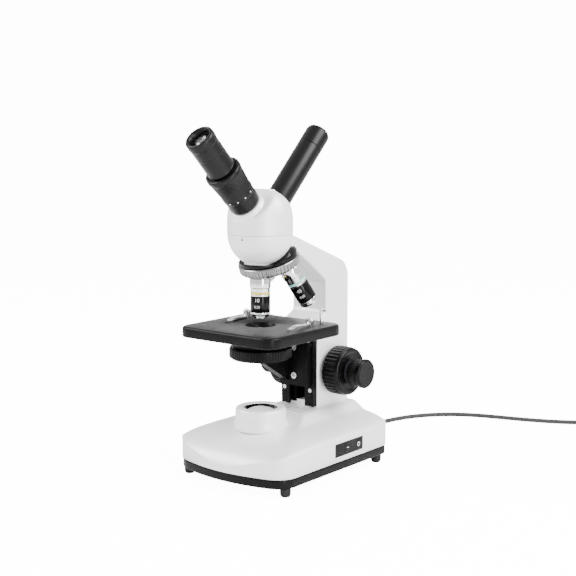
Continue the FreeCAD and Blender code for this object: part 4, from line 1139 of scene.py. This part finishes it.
# ---- head ----------------------------------------------------------------------------------------
@dataclass
class Head:
    """White head with two slanting tubes: a focusing one in front and a plain one behind."""

    shop: Workshop
    seam: float = 242.9
    radius: float = 32.2
    middle: float = 253.0
    ridge: float = 286.0
    ridge_half: float = 2.5
    dome_height: float = 35.0
    dome_power: float = 2.6
    front_start: float = 251.0
    rear_start: float = 247.0
    front_end: float = 122.0
    rear_end: float = 131.7
    pins: int = 12

    def __post_init__(self) -> None:
        """Axes of the two tubes and the distance of the front facet."""
        slope = math.sqrt(0.5)
        self.front = along((0, 0, self.front_start), (0, -slope, slope))
        self.rear = along((0, 0, self.rear_start), (0, slope, slope))
        self.facet = (self.ridge - self.front_start + self.ridge_half) * slope

    def housing(self) -> Shell:
        """Distance from the middle in every direction: a dome cut by a gable, with a wedge in it.

        The dome is a superellipse over a cylinder.  The gable is two planes at 45 degrees, and they cut the
        dome softly and the wedge sharply.  The bottom is flat at the seam.
        """
        across, around = 220, 320
        pole, small, far = 0.0005, 1e-6, 90
        polar_angle = np.linspace(pole, math.pi - pole, across)[:, None]
        angle = (np.arange(around) * TURN / around)[None, :]
        x = np.sin(polar_angle) * np.cos(angle)
        y = np.sin(polar_angle) * np.sin(angle)
        z = np.cos(polar_angle) + 0 * angle
        flat = np.sin(polar_angle) + 0 * angle
        p = self.dome_power
        dome = ((flat / self.radius) ** p + (np.maximum(z, 0) / self.dome_height) ** p) ** (-1 / p)
        drop = self.ridge - self.middle + self.ridge_half
        gable = drop / np.maximum(z + np.abs(y), small)
        top = (self.ridge - self.middle) / np.maximum(z, small)
        gable = np.minimum(soft_low(np.minimum(gable, far), np.minimum(top, far), 0.12), far)
        half = 15.6 + 1.6 * np.tanh(y * 4)
        wedge = np.minimum(half / np.maximum(np.abs(x), small), far)
        wedge = np.minimum(soft_low(wedge, gable, 0.10), self.radius / np.maximum(flat, small))
        reach = soft_high(soft_low(dome, gable, 0.9), wedge, 0.4)
        reach = np.minimum(reach, self.radius / np.maximum(flat, small))
        floor = (self.middle - self.seam) / np.maximum(-z, small)
        reach = soft_low(reach, np.minimum(floor, far), 0.25)
        grid = np.stack([reach * x, reach * y, self.middle + reach * z], axis=2)
        return grid_shell(grid, capped=True)

    def make(self) -> None:
        """Build the head, both tubes and their eyepieces."""
        shop = self.shop
        h = self.facet
        cone = [(12.0, h - 6), (20.5, h - 6), (18.2, h - 0.5), (16.3, h + 3.0), (15.4, h + 3.8),
                (12.0, h + 3.8)]
        boss = turned(cone, self.front, 0.8, 128, steps=6)
        shop.piece("head_casting", self.housing().joined(boss), WHITE_ENAMEL, "head", "white_enamel",
                   ["head_housing"], sharp=35)
        shop.dress(STEEL, "head_dovetail")
        shop.dress(GLASS, "beam_splitter")
        self.make_front()
        self.make_rear()

    def make_front(self) -> None:
        """Flange, dioptre collar with its finger pins, draw tube and wide eyepiece."""
        shop, f, h = self.shop, self.front, self.facet
        flange = [(11.7, h - 1.5), (13.0, h - 1.5), (13.0, 58.0), (11.7, 58.0)]
        shop.piece("tube_flange", turned(flange, f, 0.7, 96, steps=5), ANODISED, "head", "black_anodised",
                   ["front_tube"])
        collar = [(13.2, h + 4.1), (14.6, h + 4.1), (15.4, h + 6.5), (15.4, 44.2), (15.9, 45.5),
                  (15.9, 49.5), (15.6, 50.6), (17.3, 70.0), (17.5, 71.6), (17.9, 72.4), (17.9, 76.4),
                  (16.9, 77.7), (15.2, 77.9), (14.7, 76.6), (14.7, 64.0), (13.2, 64.0)]
        shell = turned(collar, f, 0.6, 288, Ribs(48, 0.3, 51.0, 69.8, 0.9), steps=4)
        shop.piece("dioptre_grip", shell, ANODISED, "dioptre_ring", "black_anodised", ["dioptre_collar"],
                   sharp=45)
        pins = []
        shape = [(0, -0.6), (0.75, -0.6), (0.75, 0.55), (0.4, 0.85), (0, 0.9)]
        for k in range(self.pins):
            angle = TURN * k / self.pins + math.radians(5)
            out = f[:3, 0] * math.cos(angle) + f[:3, 1] * math.sin(angle)
            seat = f[:3, 3] + f[:3, 2] * 47.4 + out * 15.6
            pins.append(turned(shape, along(seat, out), 0.2, 20))
        shop.piece("grip_pins", pins[0].joined(*pins[1:]), CHROME, "dioptre_ring", "chrome_plate")
        draw = [(11.65, 61.0), (12.9, 61.0), (12.9, 65.2), (14.4, 65.2), (14.4, 77.4), (11.65, 77.4)]
        shop.piece("sliding_tube", turned(draw, f, 0.4, 96), ANODISED, "draw_tube", "black_anodised",
                   ["draw_tube"])
        end = self.front_end
        eyepiece = [(9.5, 52.0), (11.55, 52.0), (11.55, 79.2), (14.2, 79.2), (14.3, 80.6), (13.85, 81.6),
                    (13.85, 99.0), (13.7, 99.3), (13.7, 100.1), (13.85, 100.4), (13.85, 112.8),
                    (14.35, 113.8), (14.35, end - 2.2), (13.6, end - 0.5), (12.4, end), (11.2, end - 0.4),
                    (9.9, end - 2.2), (9.0, end - 5.0), (9.0, end - 7), (9.5, end - 9)]
        shop.piece("wide_eyepiece", turned(eyepiece, f, 0.5, 128, steps=4), ANODISED, "front_ocular",
                   "black_anodised", ["front_eyepiece"], sharp=45)
        shop.piece("wide_eye_lens", turned(self.lens(8.9, end - 7.5, end - 6.2, 2.4), f, 0.05, 72, steps=3),
                   GLASS, "front_ocular", "glass", ["front_lenses"])

    def make_rear(self) -> None:
        """Plain tube with a slim eyepiece in its end."""
        shop, f = self.shop, self.rear
        tube = [(11.65, 20.0), (12.5, 20.0), (12.5, 108.5), (12.3, 108.75), (11.65, 108.75)]
        shop.piece("plain_tube", turned(tube, f, 0.2, 128, steps=4), ANODISED, "head", "black_anodised",
                   ["rear_tube"])
        end = self.rear_end
        eyepiece = [(9.5, 84.0), (11.55, 84.0), (11.55, 109.0), (12.3, 109.0), (12.5, 109.25),
                    (12.5, end - 3.4), (11.6, end - 0.9), (10.2, end), (8.9, end - 0.4), (8.1, end - 3.2),
                    (8.1, end - 8), (9.5, end - 10)]
        shop.piece("slim_eyepiece", turned(eyepiece, f, 0.5, 128, steps=5), ANODISED, "rear_ocular",
                   "black_anodised", ["rear_eyepiece"], sharp=45)
        shop.piece("slim_eye_lens", turned(self.lens(8.0, end - 7.5, end - 6.2, 2.0), f, 0.05, 72, steps=3),
                   GLASS, "rear_ocular", "glass", ["rear_eye_lens"])

    @staticmethod
    def lens(radius: float, low: float, edge: float, bulge: float) -> np.ndarray:
        """Profile of a lens: flat below, and a parabola above that rises by the bulge at its middle."""
        r = np.linspace(radius, 0.0, 12)
        crown = np.column_stack([r, edge + bulge * (1 - (r / radius) ** 2)])
        return np.concatenate([[(0.0, low), (radius, low)], crown])


# ---- mains lead ----------------------------------------------------------------------------------
@dataclass
class MainsLead:
    """The lead: its strain relief, its run over the table, its put-away coil and its plug."""

    shop: Workshop
    radius: float = 2.5
    coil_radius: float = 27.5
    coil_turns: int = 6
    points_a_turn: int = 16
    layer: float = 5.05
    layer_starts: tuple[float, float] = (1.8, 3.8)
    tie_reach: float = 6.4

    def route(self) -> np.ndarray:
        """Points of the lead: the run as listed, then the coil's turns worked out."""
        run = np.array([(-20, 145, 30), (-20, 168, 29), (-20.5, 186, 19.5), (-21.5, 204, 6.5),
                        (-22, 226, 2.5), (-19.5, 252, 2.5), (-12, 280, 2.5), (3, 307, 2.5), (27, 331, 2.5),
                        (60, 346, 2.5), (96, 356, 2.5), (131, 369, 2.5), (162, 387, 2.5), (186, 409, 2.5)],
                       float)
        low, high = self.shop.box("lead_coil")
        centre = (low + high)[:2] / 2
        first = run[-1, :2] - centre
        start = math.atan2(first[1], first[0])
        count = self.coil_turns * self.points_a_turn
        k = np.arange(1, count + 1)
        angle = start - TURN * k / self.points_a_turn
        turn = k / self.points_a_turn
        wobble = 0.6 * np.sin(2.3 * turn + 0.4)
        radius = self.coil_radius + 2.6 * np.cos(math.pi * turn) + wobble
        second, third = (self.layer * np.clip((turn - at) / 0.4, 0, 1) for at in self.layer_starts)
        lift = self.radius + second + third
        coil = np.column_stack([centre[0] + radius * np.cos(angle), centre[1] + radius * np.sin(angle), lift])
        return np.concatenate([run, coil])

    def make(self) -> None:
        """Build the lead as one smooth curve with what is on it."""
        shop = self.shop
        points = shop.place(self.route())
        curve = bpy.data.curves.new("flex", "CURVE")
        curve.dimensions = "3D"
        curve.bevel_depth = self.radius * MM
        curve.bevel_resolution = 6
        curve.use_fill_caps = True
        curve.resolution_u = 6
        spline = curve.splines.new("NURBS")
        spline.points.add(len(points) - 1)
        spline.points.foreach_set("co", np.column_stack([points, np.ones(len(points))]).ravel())
        spline.order_u = 3
        spline.use_endpoint_u = True
        flex = bpy.data.objects.new("flex", curve)
        bpy.context.scene.collection.objects.link(flex)
        curve.materials.append(VINYL.material())
        shop.fitted(flex, "stand", "cord_vinyl", ["mains_lead", "lead_coil"])
        relief = self.make_relief()
        plug = self.make_plug()
        tie = self.make_tie()
        shop.dress(BRASS, "plug_pins")

    @staticmethod
    def length(points: np.ndarray) -> float:
        """Length of the smooth line: a quadratic B-spline read at even steps and summed.

        Each stretch blends three points by the weights (1-t)^2/2, (1+2t-2t^2)/2 and t^2/2.
        """
        padded = np.concatenate([2 * points[:1] - points[1:2], points, 2 * points[-1:] - points[-2:-1]])
        t = np.linspace(0, 1, 9)[None, :, None]
        a, b, c = padded[:-2, None], padded[1:-1, None], padded[2:, None]
        line = ((1 - t) ** 2 * a + (1 + 2 * t - 2 * t * t) * b + t * t * c) / 2
        steps = np.diff(line, axis=1)
        return round(float(np.linalg.norm(steps, axis=2).sum()), 3)

    def make_relief(self) -> bpy.types.Object:
        """Tapered strain relief with a collar and five grooves."""
        low, high = self.shop.box("strain_relief")
        x, z = (low[0] + high[0]) / 2, (low[2] + high[2]) / 2
        face = self.shop.box("base_shell")[1][1]
        end = high[1] - face
        profile = [(0, -2.0), (7.4, -2.0), (7.4, 2.2), (6.4, 3.0), (4.9, 3.4)]
        for k in range(5):
            at = 5.0 + 3.1 * k
            wide = 4.9 - 0.27 * k
            profile += [(wide, at), (wide - 0.7, at + 0.3), (wide - 0.7, at + 1.1), (wide - 0.1, at + 1.4)]
        profile += [(3.3, end), (0, end)]
        shell = turned(profile, along((x, face, z), BACK), 0.25, 48, steps=3)
        return self.shop.piece("strain_relief_boot", shell, RUBBER, "stand", "rubber", ["strain_relief"])

    def make_plug(self) -> bpy.types.Object:
        """Moulded plug body lying on the coil, waisted for the fingers."""
        low, high = self.shop.box("mains_plug")
        middle = (low + high) / 2
        lengthwise = axes(RIGHT, -UP, BACK, (middle[0], 0, middle[2]))
        half_x, half_z = (high[0] - low[0]) / 2, (high[2] - low[2]) / 2
        t = np.linspace(0, 1, 26)
        y = low[1] + (high[1] - low[1]) * t
        swell = 0.52 + 0.48 * np.clip(t * 1.9, 0, 1) ** 0.7 - 0.10 * np.exp(-((t - 0.62) / 0.09) ** 2)
        outline = box_outline(-half_x, half_x, -half_z, half_z, 4.0)
        rings = [np.column_stack([outline * s, np.full(len(outline), v)]) for s, v in zip(swell, y)]
        shell = grid_shell(np.stack(rings), capped=True).moved(lengthwise)
        return self.shop.piece("plug_body", shell, VINYL, "stand", "cord_vinyl", ["mains_plug"], sharp=50)

    def make_tie(self) -> bpy.types.Object:
        """Strap round the coil: a thin oblong loop with rounded corners."""
        low, high = self.shop.box("lead_coil")
        centre = (low + high) / 2
        radial = axes(RIGHT, UP, BACK, (centre[0], centre[1], 0))
        inner, outer = self.coil_radius - self.tie_reach, self.coil_radius + self.tie_reach
        loop = box_outline(-outer, -inner, 0.25, 16.6, 2.0)
        skin = inset(loop, 0.7)
        bands = [np.column_stack([ring, np.full(len(ring), at)]) for ring, at in
                 ((loop, -3.0), (loop, 3.0), (skin, 3.0), (skin, -3.0))]
        shell = grid_shell(np.stack(bands), round_rows=True).moved(radial)
        return self.shop.piece("lead_tie", shell, RUBBER, "stand", "rubber")


# ---- studio --------------------------------------------------------------------------------------
@dataclass
class Studio:
    """Pale floor, soft lights and the camera."""

    shop: Workshop
    azimuth: float = 38.92
    pitch: float = 7.99
    eye: tuple[float, float, float] = (742.4, -876.2, 350.4)
    lens: float = 74.02
    paper_glow: float = 14.0
    sky: float = 1.25
    aim_height: float = 0.18
    floor_near: float = -3.0
    floor_end: float = 2.5
    floor_bend: float = 1.5
    floor_half: float = 4.0
    backdrop_top: float = 4.5

    def make(self) -> None:
        """Set up the whole studio."""
        self.make_floor()
        self.make_lights()
        self.make_camera()

    def make_floor(self) -> None:
        """A floor that sweeps up into a backdrop: flat, then a quarter circle, then upright."""
        end, bend = self.floor_end, self.floor_bend
        flat = np.linspace(self.floor_near, end, 12)
        quarter = np.linspace(0, math.pi / 2, 24)[1:]
        run = np.concatenate([flat, end + bend * np.sin(quarter), [end + bend]])
        rise = np.concatenate([np.zeros(len(flat)), bend * (1 - np.cos(quarter)), [self.backdrop_top]])
        azimuth = math.radians(self.azimuth)
        ahead = np.array([-math.sin(azimuth), math.cos(azimuth), 0.0])
        aside = np.array([math.cos(azimuth), math.sin(azimuth), 0.0])
        sides = np.linspace(-self.floor_half, self.floor_half, 9)
        grid = run[:, None, None] * ahead + sides[None, :, None] * aside + rise[:, None, None] * UP
        mesh = bpy.data.meshes.new("studio_floor")
        shell = grid_shell(grid, round_columns=False)
        mesh.from_pydata(shell.points.tolist(), [], shell.faces.tolist())
        mesh.shade_smooth()
        floor = bpy.data.objects.new("studio_floor", mesh)
        bpy.context.scene.collection.objects.link(floor)
        finish = Finish("studio_paper", (0.92, 0.92, 0.92), 0.5, mottle=0.003, unevenness=0.02, grain=0.0,
                        specular=0.1, glow=1.0)
        mesh.materials.append(self.lit_for_the_eye(finish.material()))

    def lit_for_the_eye(self, paper: bpy.types.Material) -> bpy.types.Material:
        """Let a material glow only where the camera sees it, so that it lights nothing.

        Args:
            paper: A material with a Principled shader.

        Returns:
            The same material.
        """
        nodes, links = paper.node_tree.nodes, paper.node_tree.links
        path, glow = nodes.new("ShaderNodeLightPath"), nodes.new("ShaderNodeMath")
        glow.operation = "MULTIPLY"
        glow.inputs[1].default_value = self.paper_glow
        links.new(path.outputs["Is Camera Ray"], glow.inputs[0])
        links.new(glow.outputs["Value"], nodes["Principled BSDF"].inputs["Emission Strength"])
        return paper

    def make_lights(self) -> None:
        """A bright sky, a big key light from the right rear and a strip from the front left."""
        world = bpy.data.worlds.new("studio_sky")
        world.use_nodes = True
        world.node_tree.nodes["Background"].inputs["Color"].default_value = (1.0, 1.0, 1.0, 1.0)
        world.node_tree.nodes["Background"].inputs["Strength"].default_value = self.sky
        bpy.context.scene.world = world
        self.area("key_light", (1.1, 0.5, 1.3), 0.9, 0.9, 46.0)
        self.area("strip_light", (1.3, -0.5, 0.55), 0.25, 1.2, 18.0)
        self.area("fill_light", (-1.0, -0.9, 1.0), 0.8, 0.8, 30.0)

    def area(self, name: str, place: Sequence[float], width: float, height: float, watts: float) -> None:
        """Add an area light that looks at the middle of the microscope.

        Args:
            name: Its name.
            place: Where it stands, in metres.
            width: Its width.
            height: Its height.
            watts: Its power.
        """
        light = bpy.data.lights.new(name, "AREA")
        light.shape, light.size, light.size_y, light.energy = "RECTANGLE", width, height, watts
        holder = bpy.data.objects.new(name, light)
        aim = np.asarray(place) - np.array([0.0, 0.0, self.aim_height])
        aim /= np.linalg.norm(aim)
        side = np.cross(UP, aim)
        side /= np.linalg.norm(side)
        holder.matrix_world = Matrix(axes(side, np.cross(aim, side), aim, place).tolist())
        bpy.context.scene.collection.objects.link(holder)

    def make_camera(self) -> None:
        """A level-standing camera that looks a little down at the front right corner."""
        camera = bpy.data.cameras.new("camera")
        camera.lens, camera.sensor_width = self.lens, 36.0
        camera.clip_start, camera.clip_end = 0.05, 30.0
        holder = bpy.data.objects.new("camera", camera)
        bpy.context.scene.collection.objects.link(holder)
        holder.location = self.shop.place(np.array(self.eye))
        holder.rotation_euler = (math.radians(90 - self.pitch), 0.0, math.radians(self.azimuth))
        bpy.context.scene.camera = holder


def main() -> None:
    """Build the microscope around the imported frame."""
    logging.basicConfig(level=logging.INFO, format="%(name)s: %(message)s")
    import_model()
    shop = Workshop()
    Studio(shop).make()
    MainsLead(shop).make()
    for sub_assembly in (Base(shop), Limb(shop), Focusing(shop), Stage(shop), Nosepiece(shop), Head(shop)):
        sub_assembly.make()


if __name__ == "__main__":
    main()
